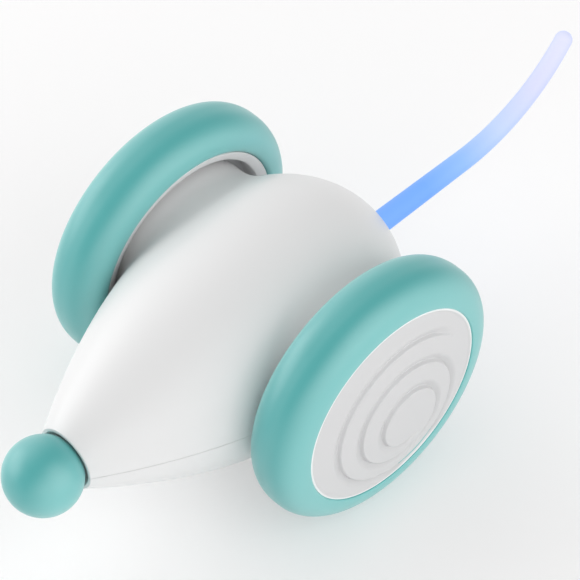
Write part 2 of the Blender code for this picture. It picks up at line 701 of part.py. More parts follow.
def make_motor(side):
    """A flat-sided can with a bearing neck that shows in the plate's hole."""
    can = rounded_rectangle(MOTOR_WIDTH, MOTOR_HEIGHT, MOTOR_CORNER)
    neck = circle(MOTOR_NECK_RADIUS, SCREW_SIDES)
    end = MOTOR_INNER_END + MOTOR_LENGTH
    body = Extrusion("X")
    body.wall(can, MOTOR_INNER_END, end)
    body.wall(neck, end, PLATE_INNER)
    body.cap(MOTOR_INNER_END, can)
    body.cap(end, can, neck)
    body.cap(PLATE_INNER, neck)
    return on_side(body.solid(), side)


def plate_outline(spots, margin):
    return hull([p for centre in spots for p in circle(margin, SCREW_SIDES, centre)])


def pin_holes():
    return [circle(PIN_RADIUS + RUNNING_GAP, PIN_SIDES, s) for s in (GEAR_1_SPOT, GEAR_2_SPOT)]


def make_gear_plate(side):
    """The inner plate, with the stand-offs that hold the cover plate at its distance."""
    motor_corners = [
        (MOTOR_SPOT[0] + a * MOTOR_WIDTH / 2, MOTOR_SPOT[1] + b * MOTOR_HEIGHT / 2)
        for a, b in ((1, 1), (-1, 1), (-1, -1), (1, -1))
    ]
    spots = plate_outline((GEAR_1_SPOT, GEAR_2_SPOT, *STANDOFF_SPOTS), PLATE_MARGIN)
    outline = hull(spots + motor_corners)
    holes = pin_holes()
    holes.append(circle(AXLE_RADIUS + RUNNING_GAP, AXLE_SIDES))
    holes.append(circle(MOTOR_NECK_RADIUS + TOUCH_GAP, SCREW_SIDES, MOTOR_SPOT))
    standoffs = [circle(STANDOFF_RADIUS, PIN_SIDES, s) for s in STANDOFF_SPOTS]
    body = Extrusion("X")
    for loop in (outline, *holes):
        body.wall(loop, PLATE_INNER, PLATE_OUTER)
    body.cap(PLATE_INNER, outline, *holes)
    body.cap(PLATE_OUTER, outline, *holes, *standoffs)
    for standoff in standoffs:
        body.wall(standoff, PLATE_OUTER, COVER_INNER - TOUCH_GAP)
        body.cap(COVER_INNER - TOUCH_GAP, standoff)
    return on_side(body.solid(), side)


def make_gear_cover(side):
    outline = plate_outline((GEAR_1_SPOT, GEAR_2_SPOT, *STANDOFF_SPOTS), PLATE_MARGIN)
    axle_hole = circle(AXLE_RADIUS + RUNNING_GAP, AXLE_SIDES)
    return on_side(prism("X", COVER_INNER, COVER_OUTER, outline, axle_hole, *pin_holes()), side)


def make_pin(side):
    outline = [(PLATE_INNER, 0), (PLATE_INNER, PIN_RADIUS), (COVER_OUTER, PIN_RADIUS), (COVER_OUTER, 0)]
    return on_side(lathe(outline, PIN_SIDES), side)


def make_bush(side):
    """A flanged bearing in the housing's boss, trapped against the cover plate."""
    flange = COVER_OUTER + TOUCH_GAP
    seat = BOSS_END - WALL - TOUCH_GAP
    end = BOSS_END + TOUCH_GAP
    bore = AXLE_RADIUS + RUNNING_GAP
    outline = [(flange, bore), (flange, BUSH_FLANGE_RADIUS), (seat, BUSH_FLANGE_RADIUS)]
    outline += [(seat, BUSH_RADIUS), (end, BUSH_RADIUS), (end, bore)]
    return on_side(lathe(outline, AXLE_SIDES), side)


# Housing
class Meridian:
    """The housing's outline in the plane through its axis, moved inwards by a wall, between two stations."""

    SAMPLES = 400

    def __init__(self, inset, front, rear):
        share = np.linspace(0, 1, self.SAMPLES)
        ahead = -NOSE_REACH * (1 - share[:-1])
        angle = share * math.pi / 2
        y = np.concatenate([ahead, REAR_REACH * np.sin(angle)])
        front_radius = BODY_RADIUS * (1 - (-ahead / NOSE_REACH) ** NOSE_POWER)
        radius = np.concatenate([front_radius, BODY_RADIUS * np.cos(angle)])
        way_y, way_r = np.gradient(y), np.gradient(radius)
        length = np.hypot(way_y, way_r)
        y = y + inset * way_r / length
        radius = radius - inset * way_y / length
        inside = (y > front) & (y < rear)
        ends = np.interp((front, rear), y, radius)
        self.y = np.concatenate([[front], y[inside], [rear]])
        self.radius = np.concatenate([[ends[0]], radius[inside], [ends[1]]])
        steps = np.hypot(np.diff(self.y), np.diff(self.radius))
        self.run = np.concatenate([[0], np.cumsum(steps)])
        heading = np.unwrap(np.arctan2(np.diff(self.radius), np.diff(self.y)))
        bend = np.concatenate([[0, 0], np.cumsum(np.abs(np.diff(heading)))])
        self.crowding = self.run + BODY_RADIUS * bend

    def radius_at(self, y):
        return float(np.interp(y, self.y, self.radius))

    def run_at(self, y):
        return float(np.interp(y, self.y, self.run))

    def stations(self, steps):
        """Runs from the rear to the front, closest together where the outline bends most."""
        return list(np.interp(np.linspace(self.crowding[-1], 0, steps + 1), self.crowding, self.run))

    def skin_point(self, run, roll):
        """The point of the skin at a run along the outline and a roll from the X axis towards Z."""
        y = float(np.interp(run, self.run, self.y))
        radius = float(np.interp(run, self.run, self.radius))
        return np.array((radius * math.cos(roll), y, radius * math.sin(roll)))

    def side_point(self, bearing, reach):
        """The point of the skin seen along X at a reach from the axle, with its run and roll."""
        y, z = reach * math.cos(bearing), reach * math.sin(bearing)
        radius = self.radius_at(y)
        roll = math.asin(max(-1, min(1, z / radius)))
        return np.array((radius * math.cos(roll), y, z)), self.run_at(y), roll


def flank_edge(line, tail_steps, top_steps, nose_steps):
    """(run, roll) points once round a flank: tail rim, top edge, nose rim and bottom edge."""
    rear, front = line.run[-1], 0
    quarter = math.pi / 2
    top = line.stations(top_steps)
    edge = [(rear, quarter * step / tail_steps) for step in range(tail_steps)]
    edge += [(run, quarter) for run in top[:-1]]
    edge += [(front, quarter * (1 - step / nose_steps)) for step in range(2 * nose_steps)]
    edge += [(run, -quarter) for run in top[:0:-1]]
    edge += [(rear, quarter * (step / tail_steps - 1)) for step in range(tail_steps)]
    return edge


def fillet_foot(line, bearing, boss_radius):
    """Where the fillet leaves the housing's skin: its size away from the foot of the boss's wall."""
    foot, _, _ = line.side_point(bearing, boss_radius)
    low, high = 0, FILLET
    for _ in range(30):
        spread = (low + high) / 2
        point, run, roll = line.side_point(bearing, boss_radius + spread)
        if np.linalg.norm(point - foot) < FILLET:
            low = spread
        else:
            high = spread
    return foot, point, run, roll


def flank_column(line, edge, boss_radius, boss_end, fillet_steps, flank_steps):
    """Points from the end of the boss, over the fillet at its foot, to one point of the flank's edge."""
    run_at_axle = line.run_at(0)
    bearing = math.atan2(BODY_RADIUS * edge[1], edge[0] - run_at_axle)
    foot, start, start_run, start_roll = fillet_foot(line, bearing, boss_radius)
    rise = min(FILLET, FILLET_END_SHARE * (boss_end - foot[0]))
    top = foot + np.array((rise, 0, 0))
    column = [np.array((boss_end, foot[1], foot[2]))]
    for step in range(fillet_steps + 1):
        share = step / fillet_steps
        column.append((1 - share) ** 2 * top + 2 * share * (1 - share) * foot + share**2 * start)
    for step in range(1, flank_steps + 1):
        share = step / flank_steps
        run = start_run + share * (edge[0] - start_run)
        roll = start_roll + share * (edge[1] - start_roll)
        column.append(line.skin_point(run, roll))
    return column


def housing_solid(inset, front, rear, counts):
    """The drop-shaped housing with a round boss blended into each flank, as one closed skin."""
    tail_steps, top_steps, nose_steps, fillet_steps, flank_steps = counts
    line = Meridian(inset, front, rear)
    shape = (BOSS_RADIUS - inset, BOSS_END - inset, fillet_steps, flank_steps)
    edge = flank_edge(line, tail_steps, top_steps, nose_steps)
    columns = [flank_column(line, point, *shape) for point in edge]
    bm = bmesh.new()
    for side in (1, -1):
        rows = []
        for row in zip(*columns):
            rows.append([bm.verts.new((side * p[0], p[1], p[2])) for p in row])
        bm.faces.new(rows[0])
        for low, high in zip(rows, rows[1:]):
            skin(bm, low, high)
    bmesh.ops.remove_doubles(bm, verts=bm.verts, dist=line.run[-1] / line.SAMPLES**2)
    open_edges = [e for e in bm.edges if e.is_boundary]
    bmesh.ops.holes_fill(bm, edges=open_edges, sides=0)
    bmesh.ops.recalc_face_normals(bm, faces=bm.faces)
    return bm


def tail_rim_y():
    return REAR_REACH * math.sqrt(1 - (TAIL_RIM_RADIUS / BODY_RADIUS) ** 2)


def post_spots():
    return [(side * x, y) for x, y in (FRONT_POST, REAR_POST) for side in (1, -1)]


def board_post_spots():
    x = BOARD_WIDTH / 2 - BOARD_POST_INSET
    y_places = (BOARD_FRONT_Y + BOARD_POST_INSET, BOARD_FRONT_Y + BOARD_LENGTH - BOARD_POST_INSET)
    return [(side * x, y) for side in (1, -1) for y in y_places]


def make_posts():
    """What stands in the cavity: screw posts from top to bottom, board posts and the gear plates' ribs."""
    reach = BODY_RADIUS + OVERRUN
    column = [(-reach, 0), (-reach, POST_RADIUS), (reach, POST_RADIUS), (reach, 0)]
    posts = [lathe(column, SCREW_SIDES, "Z", centre=s) for s in post_spots()]
    board_seat = BOARD_BOTTOM_Z - TOUCH_GAP
    for s in board_post_spots():
        outline = [(-reach, 0), (-reach, BOARD_POST_RADIUS), (board_seat, BOARD_POST_RADIUS), (board_seat, 0)]
        posts.append(lathe(outline, PIN_SIDES, "Z", centre=s))
    button_seat = [(-reach, 0), (-reach, BUTTON_FLANGE_RADIUS), (button_seat_z(), BUTTON_FLANGE_RADIUS)]
    button_seat.append((button_seat_z(), 0))
    posts.append(lathe(button_seat, AXLE_SIDES, "Z", centre=(0, BUTTON_Y)))
    rib_top = STANDOFF_SPOTS[-1][1] - PLATE_MARGIN - TOUCH_GAP
    rib_y = (STANDOFF_SPOTS[-1][0] - PLATE_MARGIN, STANDOFF_SPOTS[-1][0] + PLATE_MARGIN)
    for side in (1, -1):
        x = sorted((side * PLATE_INNER, side * PLATE_OUTER))
        posts.append(box((x[0], rib_y[0], -reach), (x[1], rib_y[1], rib_top)))
    return joined(*posts)


def nose_opening():
    """The pocket that the nose ball sinks into, and the bore that guides its stem."""
    centre = BALL_Y + NOSE_TRAVEL
    radius = BALL_RADIUS + TOUCH_GAP
    bore = STEM_RADIUS + SLIDE_GAP
    start = NOSE_RIM_Y - OVERRUN
    low = math.acos((start - centre) / radius)
    high = math.asin(bore / radius)
    arc = [low + (high - low) * step / 6 for step in range(7)]
    outline = [(start, 0)]
    outline += [(centre + radius * math.cos(a), radius * math.sin(a)) for a in arc]
    outline += [(BULKHEAD_Y + OVERRUN, bore), (BULKHEAD_Y + OVERRUN, 0)]
    return lathe(outline, BALL_SIDES, "Y")


def screw_opening(centre):
    """Counterbore, clearance hole and pilot hole on one axis."""
    wide = SCREW_HEAD_RADIUS + TOUCH_GAP
    narrow = SCREW_RADIUS + TOUCH_GAP
    bottom = -BODY_RADIUS - OVERRUN
    top = SCREW_TIP_Z + TOUCH_GAP
    outline = [(bottom, 0), (bottom, wide), (SCREW_SEAT_Z, wide)]
    outline += [(SCREW_SEAT_Z, narrow), (top, narrow), (top, 0)]
    return lathe(outline, SCREW_SIDES, "Z", centre=centre)


def make_openings():
    """Everything that is cut out of the finished walls."""
    tail_bore = TAIL_BASE_RADIUS + TOUCH_GAP
    tail_cut = [(TAIL_WALL_Y - OVERRUN, 0), (TAIL_WALL_Y - OVERRUN, tail_bore)]
    tail_cut += [(REAR_REACH + OVERRUN, tail_bore), (REAR_REACH + OVERRUN, 0)]
    cuts = [nose_opening(), lathe(tail_cut, TAIL_SIDES, "Y")]
    cuts += [screw_opening(centre) for centre in post_spots()]
    low, high = BOSS_END - WALL - OVERRUN, BOSS_END + OVERRUN
    for side in (1, -1):
        bore = [(low, 0), (low, BORE_IN_BOSS), (high, BORE_IN_BOSS), (high, 0)]
        cuts.append(on_side(lathe(bore, AXLE_SIDES), side))
    bottom = -BODY_RADIUS - OVERRUN
    inside = -BODY_RADIUS + WALL + OVERRUN
    width, height = PORT_WIDTH + 2 * TOUCH_GAP, PORT_HEIGHT + 2 * TOUCH_GAP
    slot = rounded_rectangle(width, height, PORT_CORNER_SHARE * height, 3, (0, PORT_Y))
    cuts.append(prism("Z", bottom, inside, slot))
    hole = circle(BUTTON_RADIUS + SLIDE_GAP, AXLE_SIDES, (0, BUTTON_Y))
    cuts.append(prism("Z", bottom, inside, hole))
    return joined(*cuts)


def make_shells(material, chassis):
    skin_ends = (NOSE_RIM_Y, tail_rim_y())
    cavity = cutter("cavity", housing_solid(WALL, BULKHEAD_Y, TAIL_WALL_Y, CAVITY_STEPS), chassis)
    boolean(cavity, cutter("posts", make_posts(), chassis))
    openings = cutter("openings", make_openings(), chassis)
    reach = (BOSS_END + OVERRUN, NOSE_REACH, BODY_RADIUS + OVERRUN)
    for name, side in (("upper_shell", 1), ("lower_shell", -1)):
        z = sorted((side * SEAM_GAP / 2, side * reach[2]))
        half = cutter(name + "_half", box((-reach[0], -reach[1], z[0]), (reach[0], reach[1], z[1])), chassis)
        shell = piece(name, housing_solid(0, *skin_ends, SKIN_STEPS), material, chassis)
        boolean(shell, half, "INTERSECT")
        boolean(shell, cavity)
        boolean(shell, openings)


# Nose button
def make_nose_ball():
    """A hollow soft ball with the stem it is moulded on. The stem's bore opens the hollow to the back."""
    inner = BALL_RADIUS - BALL_WALL
    neck = math.asin(STEM_RADIUS / BALL_RADIUS)
    mouth = math.asin(STEM_BORE_RADIUS / inner)
    groove = STEM_RADIUS - CLIP_GROOVE_DEPTH
    clip_front = BULKHEAD_Y + TOUCH_GAP
    outline = [(BALL_Y - BALL_RADIUS, 0)]
    for step in range(1, 9):
        angle = math.pi - (math.pi - neck) * step / 8
        outline.append((BALL_Y + BALL_RADIUS * math.cos(angle), BALL_RADIUS * math.sin(angle)))
    outline += [(clip_front, STEM_RADIUS), (clip_front, groove)]
    outline += [(clip_front + CLIP_THICKNESS + 2 * TOUCH_GAP, groove)]
    outline += [(clip_front + CLIP_THICKNESS + 2 * TOUCH_GAP, STEM_RADIUS), (STEM_END_Y, STEM_RADIUS)]
    outline += [(STEM_END_Y, STEM_BORE_RADIUS)]
    for step in range(4):
        angle = mouth + (math.pi - mouth) * step / 4
        outline.append((BALL_Y + inner * math.cos(angle), inner * math.sin(angle)))
    outline.append((BALL_Y - inner, 0))
    return lathe(outline, BALL_SIDES, "Y")


def make_nose_clip():
    low = BULKHEAD_Y + 2 * TOUCH_GAP
    high = low + CLIP_THICKNESS
    bore = STEM_RADIUS - CLIP_GROOVE_DEPTH + RUNNING_GAP
    return lathe([(low, bore), (low, CLIP_RADIUS), (high, CLIP_RADIUS), (high, bore)], BALL_SIDES, "Y")


def spring_span():
    """From the clip to the carrier, with the wire clear of both."""
    clear = SPRING_WIRE_RADIUS + TOUCH_GAP
    return BULKHEAD_Y + 2 * TOUCH_GAP + CLIP_THICKNESS + clear, CARRIER_Y - clear


def add_nose_spring(material, parent):
    low, high = spring_span()
    data = bpy.data.curves.new("nose_spring", "CURVE")
    data.dimensions = "3D"
    data.bevel_depth = SPRING_WIRE_RADIUS
    data.bevel_resolution = 0
    data.use_fill_caps = True
    spline = data.splines.new("POLY")
    count = SPRING_TURNS * SPRING_STEPS_PER_TURN + 1
    spline.points.add(count - 1)
    for k, point in enumerate(spline.points):
        angle = math.tau * k / SPRING_STEPS_PER_TURN
        y = low + (high - low) * k / (count - 1)
        point.co = (SPRING_RADIUS * math.cos(angle), y, SPRING_RADIUS * math.sin(angle), 1)
    data.materials.append(material)
    pitch = (high - low) / SPRING_TURNS
    print(f"nose spring: least gap between turns {pitch - 2 * SPRING_WIRE_RADIUS:.5f} m")
    return add_object("nose_spring", data, parent)


def cavity_radius(y, quarter_steps):
    """How far a round piece may reach at a station, inside the flat faces that the cavity is drawn with."""
    flats = math.cos(math.pi / 4 / quarter_steps)
    return Meridian(WALL, BULKHEAD_Y, TAIL_WALL_Y).radius_at(y) * flats


def make_switch_carrier():
    radius = cavity_radius(CARRIER_Y, CAVITY_STEPS[2]) - TOUCH_GAP
    low, high = CARRIER_Y, CARRIER_Y + CARRIER_THICKNESS
    return lathe([(low, 0), (low, radius), (high, radius), (high, 0)], BALL_SIDES, "Y")


def make_nose_switch():
    """A square switch body with a round plunger facing the stem."""
    half = NOSE_SWITCH_SIZE / 2
    square = [(half, half), (-half, half), (-half, -half), (half, -half)]
    plunger = circle(STEM_RADIUS / 2, PIN_SIDES)
    back = CARRIER_Y - TOUCH_GAP
    tip = STEM_END_Y + NOSE_TRAVEL + TOUCH_GAP / 3
    shoulder = back - (back - tip) * 3 / 4
    body = Extrusion("Y")
    body.wall(square, shoulder, back)
    body.wall(plunger, tip, shoulder)
    body.cap(back, square)
    body.cap(shoulder, square, plunger)
    body.cap(tip, plunger)
    return body.solid()


# Tail
def make_tail():
    """A tapering rod swept along the tail's path."""
    points, radii = tail_path()
    bm = bmesh.new()
    rings = []
    for k, (point, radius) in enumerate(zip(points, radii)):
        ahead = np.array(points[min(k + 1, len(points) - 1)]) - np.array(points[max(k - 1, 0)])
        slope = math.atan2(ahead[2], ahead[1])
        if radius == 0:
            rings.append([bm.verts.new(point)])
            continue
        rings.append(
            [
                bm.verts.new((a, point[1] - b * math.sin(slope), point[2] + b * math.cos(slope)))
                for a, b in circle(radius, TAIL_SIDES)
            ]
        )
    for low, high in zip(rings, rings[1:]):
        skin(bm, low, high)
    bm.faces.new(rings[0])
    bmesh.ops.recalc_face_normals(bm, faces=bm.faces)
    return bm


def make_tail_socket():
    """A sleeve behind the tail hole: the tail's root plugs in from one side and the lamp from the other."""
    wall = TAIL_WALL_Y - TOUCH_GAP
    shoulder = wall - SOCKET_FLANGE_THICKNESS
    flange = cavity_radius(wall, CAVITY_STEPS[0]) - TOUCH_GAP
    tail_bore = TAIL_BASE_RADIUS + TOUCH_GAP
    lamp_bore = LED_RADIUS + TOUCH_GAP
    floor = TAIL_ROOT_Y - TOUCH_GAP
    outline = [(SOCKET_FRONT_Y, lamp_bore), (SOCKET_FRONT_Y, SOCKET_RADIUS), (shoulder, SOCKET_RADIUS)]
    outline += [(shoulder, flange), (wall, flange), (wall, tail_bore)]
    outline += [(floor, tail_bore), (floor, lamp_bore)]
    return lathe(outline, TAIL_SIDES, "Y")


def make_tail_lamp():
    """A small round-nosed lamp whose dome looks into the tail's root."""
    flange = SOCKET_FRONT_Y - TOUCH_GAP
    dome = SOCKET_FRONT_Y + LED_BODY_LENGTH
    outline = [(flange - LED_FLANGE_THICKNESS, 0), (flange - LED_FLANGE_THICKNESS, LED_FLANGE_RADIUS)]
    outline += [(flange, LED_FLANGE_RADIUS), (flange, LED_RADIUS)]
    outline += [
        (dome + LED_RADIUS * math.sin(a), LED_RADIUS * math.cos(a)) for a in (0, math.pi / 6, math.pi / 3)
    ]
    outline.append((dome + LED_RADIUS, 0))
    return lathe(outline, SCREW_SIDES, "Y")


# Electronics and ballast
def make_board():
    front, rear = BOARD_FRONT_Y, BOARD_FRONT_Y + BOARD_LENGTH
    half = BOARD_WIDTH / 2
    outline = [(-half, front), (half, front), (half, rear), (-half, rear)]
    chip_side = BOARD_LENGTH / 3
    chip = rounded_rectangle(chip_side, chip_side, BOARD_THICKNESS / 4, 1, (0, (front + rear) / 2))
    top = BOARD_BOTTOM_Z + BOARD_THICKNESS
    body = Extrusion("Z")
    body.wall(outline, BOARD_BOTTOM_Z, top)
    body.wall(chip, top, top + BOARD_THICKNESS)
    body.cap(BOARD_BOTTOM_Z, outline)
    body.cap(top, outline, chip)
    body.cap(top + BOARD_THICKNESS, chip)
    return body.solid()


def battery_width():
    """What the gear plates leave, and the cavity's walls at the battery's lower rear edges."""
    inside = cavity_radius(BATTERY_FRONT_Y + BATTERY_LENGTH - BATTERY_CORNER, CAVITY_STEPS[0])
    between_walls = 2 * (math.sqrt(inside**2 - BATTERY_BOTTOM_Z**2) - BATTERY_SIDE_GAP)
    return min(between_walls, BOARD_WIDTH)


def make_battery():
    centre = (0, BATTERY_FRONT_Y + BATTERY_LENGTH / 2)
    cell = rounded_rectangle(battery_width(), BATTERY_LENGTH, BATTERY_CORNER, 3, centre)
    return prism("Z", BATTERY_BOTTOM_Z, BATTERY_BOTTOM_Z + BATTERY_HEIGHT, cell)


def add_ballast(material, chassis):
    """A cast weight that keeps the housing level: the cavity's own form, cut by a block round the battery.

    Its foot lies in the belly, its back stands between the rear screw posts under the tail's socket, and its
    arm reaches forward over the battery.
    """
    skin_gap = WALL + 4 * TOUCH_GAP
    shape = housing_solid(skin_gap, BULKHEAD_Y, TAIL_WALL_Y, CAVITY_STEPS)
    weight = piece("ballast_weight", shape, material, chassis)
    half = REAR_POST[0] - POST_RADIUS - TOUCH_GAP
    under_socket = -SOCKET_RADIUS - 2 * TOUCH_GAP
    lamp_front = SOCKET_FRONT_Y - LED_FLANGE_THICKNESS - 2 * TOUCH_GAP
    under_arm = BATTERY_BOTTOM_Z + BATTERY_HEIGHT + TOUCH_GAP
    back = BATTERY_FRONT_Y + BATTERY_LENGTH + TOUCH_GAP
    outline = [
        (BALLAST_FRONT_Y, -BODY_RADIUS),
        (BALLAST_REAR_Y, -BODY_RADIUS),
        (BALLAST_REAR_Y, under_socket),
        (lamp_front, under_socket),
        (lamp_front, BALLAST_ARM_TOP_Z),
        (BALLAST_ARM_Y, BALLAST_ARM_TOP_Z),
        (BALLAST_ARM_Y, under_arm),
        (back, under_arm),
        (back, BALLAST_TOP_Z),
        (BALLAST_FRONT_Y, BALLAST_TOP_Z),
    ]
    boolean(weight, cutter("ballast_block", prism("X", -half, half, outline), chassis), "INTERSECT")


def port_mouth_z():
    return -Meridian(0, NOSE_RIM_Y, tail_rim_y()).radius_at(PORT_Y) + PORT_MOUTH_INSET


def make_port():
    """The charging socket: a thin metal shell with its tongue, opening downwards through the belly."""
    mouth = port_mouth_z()
    back = BOARD_BOTTOM_Z - TOUCH_GAP
    centre = (0, PORT_Y)
    inner_height = PORT_HEIGHT - 2 * PORT_WALL
    corner, inner_corner = PORT_CORNER_SHARE * PORT_HEIGHT, PORT_CORNER_SHARE * inner_height
    outer = rounded_rectangle(PORT_WIDTH, PORT_HEIGHT, corner, 3, centre)
    inner = rounded_rectangle(PORT_WIDTH - 2 * PORT_WALL, inner_height, inner_corner, 3, centre)
    tongue = rounded_rectangle(PORT_TONGUE_WIDTH, PORT_TONGUE_HEIGHT, PORT_TONGUE_HEIGHT / 4, 1, centre)
    tongue_tip = mouth + PORT_WALL
    floor = mouth + PORT_DEPTH
    body = Extrusion("Z")
    body.wall(outer, mouth, back)
    body.wall(inner, mouth, floor)
    body.wall(tongue, tongue_tip, floor)
    body.cap(mouth, outer, inner)
    body.cap(floor, inner, tongue)
    body.cap(tongue_tip, tongue)
    body.cap(back, outer)
    return body.solid()


def button_seat_z():
    inside = Meridian(WALL, BULKHEAD_Y, TAIL_WALL_Y).radius_at(BUTTON_Y)
    return BUTTON_SEAT_RISE - math.sqrt(inside**2 - BUTTON_FLANGE_RADIUS**2)


def switch_bottom_z():
    return BOARD_BOTTOM_Z - TOUCH_GAP - SWITCH_HEIGHT - SWITCH_PLUNGER_HEIGHT


def make_power_switch():
    top = BOARD_BOTTOM_Z - TOUCH_GAP
    shoulder = top - SWITCH_HEIGHT
    square = rounded_rectangle(SWITCH_SIZE, SWITCH_SIZE, SWITCH_SIZE / 20, 1, (0, BUTTON_Y))
    plunger = circle(SWITCH_PLUNGER_RADIUS, PIN_SIDES, (0, BUTTON_Y))
    body = Extrusion("Z")
    body.wall(square, shoulder, top)
    body.wall(plunger, switch_bottom_z(), shoulder)
    body.cap(top, square)
    body.cap(shoulder, square, plunger)
    body.cap(switch_bottom_z(), plunger)
    return body.solid()


def make_power_button():
    """A flush cap with a flange behind the skin and a stem up to the switch."""
    line = Meridian(0, NOSE_RIM_Y, tail_rim_y())
    outer = line.radius_at(BUTTON_Y)
    face = -math.sqrt(outer**2 - BUTTON_RADIUS**2)
    flange = button_seat_z() + TOUCH_GAP
    top = switch_bottom_z() - BUTTON_TRAVEL - TOUCH_GAP / 3
    edge = TOUCH_GAP
    outline = [(face, 0), (face, BUTTON_RADIUS - edge), (face + edge, BUTTON_RADIUS), (flange, BUTTON_RADIUS)]
    outline += [(flange, BUTTON_FLANGE_RADIUS), (flange + BUTTON_FLANGE_THICKNESS, BUTTON_FLANGE_RADIUS)]
    outline += [(flange + BUTTON_FLANGE_THICKNESS, BUTTON_STEM_RADIUS), (top, BUTTON_STEM_RADIUS), (top, 0)]
    return lathe(outline, AXLE_SIDES, "Z", centre=(0, BUTTON_Y))


def make_shell_screw():
    seat = SCREW_SEAT_Z - TOUCH_GAP
    bottom = seat - SCREW_HEAD_HEIGHT
    edge = SCREW_HEAD_HEIGHT / 4
    outline = [(bottom, 0), (bottom, SCREW_HEAD_RADIUS - edge), (bottom + edge, SCREW_HEAD_RADIUS)]
    outline += [(seat, SCREW_HEAD_RADIUS), (seat, SCREW_RADIUS)]
    outline += [(SCREW_TIP_Z, SCREW_RADIUS), (SCREW_TIP_Z, 0)]
    return lathe(outline, SCREW_SIDES, "Z")


# Assembly
def materials():
    return {
        "teal": finish("teal_silicone", (0.115, 0.405, 0.400), 0.42),
        "white": finish("white_shell", (0.80, 0.80, 0.80), 0.35),
        "disc": finish("white_disc", (0.76, 0.76, 0.77), 0.38),
        "tail": finish("tail_silicone", (0.42, 0.62, 0.98), 0.30, Transmission_Weight=0.4),
        "steel": finish("bright_steel", (0.62, 0.62, 0.63), 0.28, 1.0),
        "can": finish("motor_steel", (0.50, 0.50, 0.51), 0.32, 1.0),
        "gear": finish("gear_plastic", (0.83, 0.81, 0.74), 0.45),
        "frame": finish("dark_plastic", (0.03, 0.03, 0.035), 0.50),
        "brass": finish("brass", (0.70, 0.48, 0.18), 0.30, 1.0),
        "cast": finish("cast_iron", (0.10, 0.10, 0.11), 0.65, 1.0),
        "foil": finish("cell_foil", (0.55, 0.57, 0.62), 0.35),
        "board": finish("green_board", (0.02, 0.16, 0.06), 0.45),
        "lamp": finish("clear_lamp", (0.85, 0.90, 1.0), 0.10, Transmission_Weight=0.8),
        "grey": finish("grey_button", (0.45, 0.46, 0.47), 0.45),
    }


def build_side(name, side, chassis, looks):
    """One wheel and the drive behind it."""
    wheel = pivot(name + "_wheel_axis", chassis)
    piece(name + "_tyre", make_tyre(side), looks["teal"], wheel)
    piece(name + "_hub", make_hub(side), looks["white"], wheel)
    cap = piece(name + "_hub_cap", make_cap(side), looks["disc"], wheel, math.radians(10))
    boolean(cap, cutter(name + "_groove", on_side(make_groove(), side), wheel))
    piece(name + "_hub_screw", make_hub_screw(side), looks["steel"], wheel)
    piece(name + "_axle", make_axle(side), looks["steel"], wheel)
    piece(name + "_axle_gear", make_axle_gear(side), looks["gear"], wheel)
    piece(name + "_axle_bush", make_bush(side), looks["brass"], chassis)
    piece(name + "_gear_plate", make_gear_plate(side), looks["frame"], chassis)
    piece(name + "_gear_cover", make_gear_cover(side), looks["frame"], chassis)
    gear_1 = pivot(name + "_gear_1_axis", chassis, (0, *GEAR_1_SPOT))
    gear_2 = pivot(name + "_gear_2_axis", chassis, (0, *GEAR_2_SPOT))
    shaft = pivot(name + "_motor_axis", chassis, (0, *MOTOR_SPOT))
    double_1 = make_double_gear(side, 0, GEAR_1_BIG_PHASE, GEAR_1_SMALL_PHASE)
    double_2 = make_double_gear(side, 1, GEAR_2_BIG_PHASE, GEAR_2_SMALL_PHASE)
    piece(name + "_gear_1", double_1, looks["gear"], gear_1)
    piece(name + "_gear_2", double_2, looks["gear"], gear_2)
    piece(name + "_gear_pin_1", make_pin(side), looks["steel"], gear_1)
    piece(name + "_gear_pin_2", make_pin(side), looks["steel"], gear_2)
    piece(name + "_motor", make_motor(side), looks["can"], shaft)
    piece(name + "_motor_pinion", make_pinion(side), looks["brass"], shaft)


def build_nose(chassis, looks):
    piece("nose_ball", make_nose_ball(), looks["teal"], chassis)
    piece("nose_clip", make_nose_clip(), looks["steel"], chassis)
    add_nose_spring(looks["steel"], chassis)
    piece("nose_switch", make_nose_switch(), looks["frame"], chassis)
    piece("switch_carrier", make_switch_carrier(), looks["gear"], chassis)


def build_tail(chassis, looks):
    piece("tail", make_tail(), looks["tail"], chassis)
    piece("tail_socket", make_tail_socket(), looks["gear"], chassis)
    piece("tail_lamp", make_tail_lamp(), looks["lamp"], chassis)


def build_insides(chassis, looks):
    piece("main_board", make_board(), looks["board"], chassis)
    piece("battery", make_battery(), looks["foil"], chassis)
    add_ballast(looks["cast"], chassis)
    piece("charging_port", make_port(), looks["steel"], chassis)
    piece("power_switch", make_power_switch(), looks["frame"], chassis)
    piece("power_button", make_power_button(), looks["grey"], chassis)
    for index, (x, y) in enumerate(post_spots(), 1):
        screw = pivot(f"shell_screw_{index}_axis", chassis, (x, y, 0))
        piece(f"shell_screw_{index}", make_shell_screw(), looks["steel"], screw)


def main():
    clear_scene()
    looks = materials()
    chassis = pivot("axle_middle", None, AXLE_PLACE)
    make_shells(looks["white"], chassis)
    for name, side in SIDES:
        build_side(name, side, chassis, looks)
    build_nose(chassis, looks)
    build_tail(chassis, looks)
    build_insides(chassis, looks)
    print("axle at", tuple(round(value, 6) for value in AXLE_PLACE))
    print("gear 1, gear 2 and motor at", GEAR_1_SPOT, GEAR_2_SPOT, MOTOR_SPOT)


main()
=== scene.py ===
# %% [markdown]
# # A robotic mouse for cats
#
# The toy is a glossy white drop between two fat silicone tyres, with a soft ball for a nose and a
# glowing silicone tail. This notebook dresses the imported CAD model: each visible piece is drawn
# again as smoothly as the real moulding, rides on the CAD body that it belongs to, and gets a
# surface made of shader nodes.
#
# Everything is in metres in the frame of the CAD model: +Y runs from the nose to the tail, +X along
# the axle.

import json
import math

import bmesh
import bpy
import numpy as np
from mathutils import Matrix, Vector


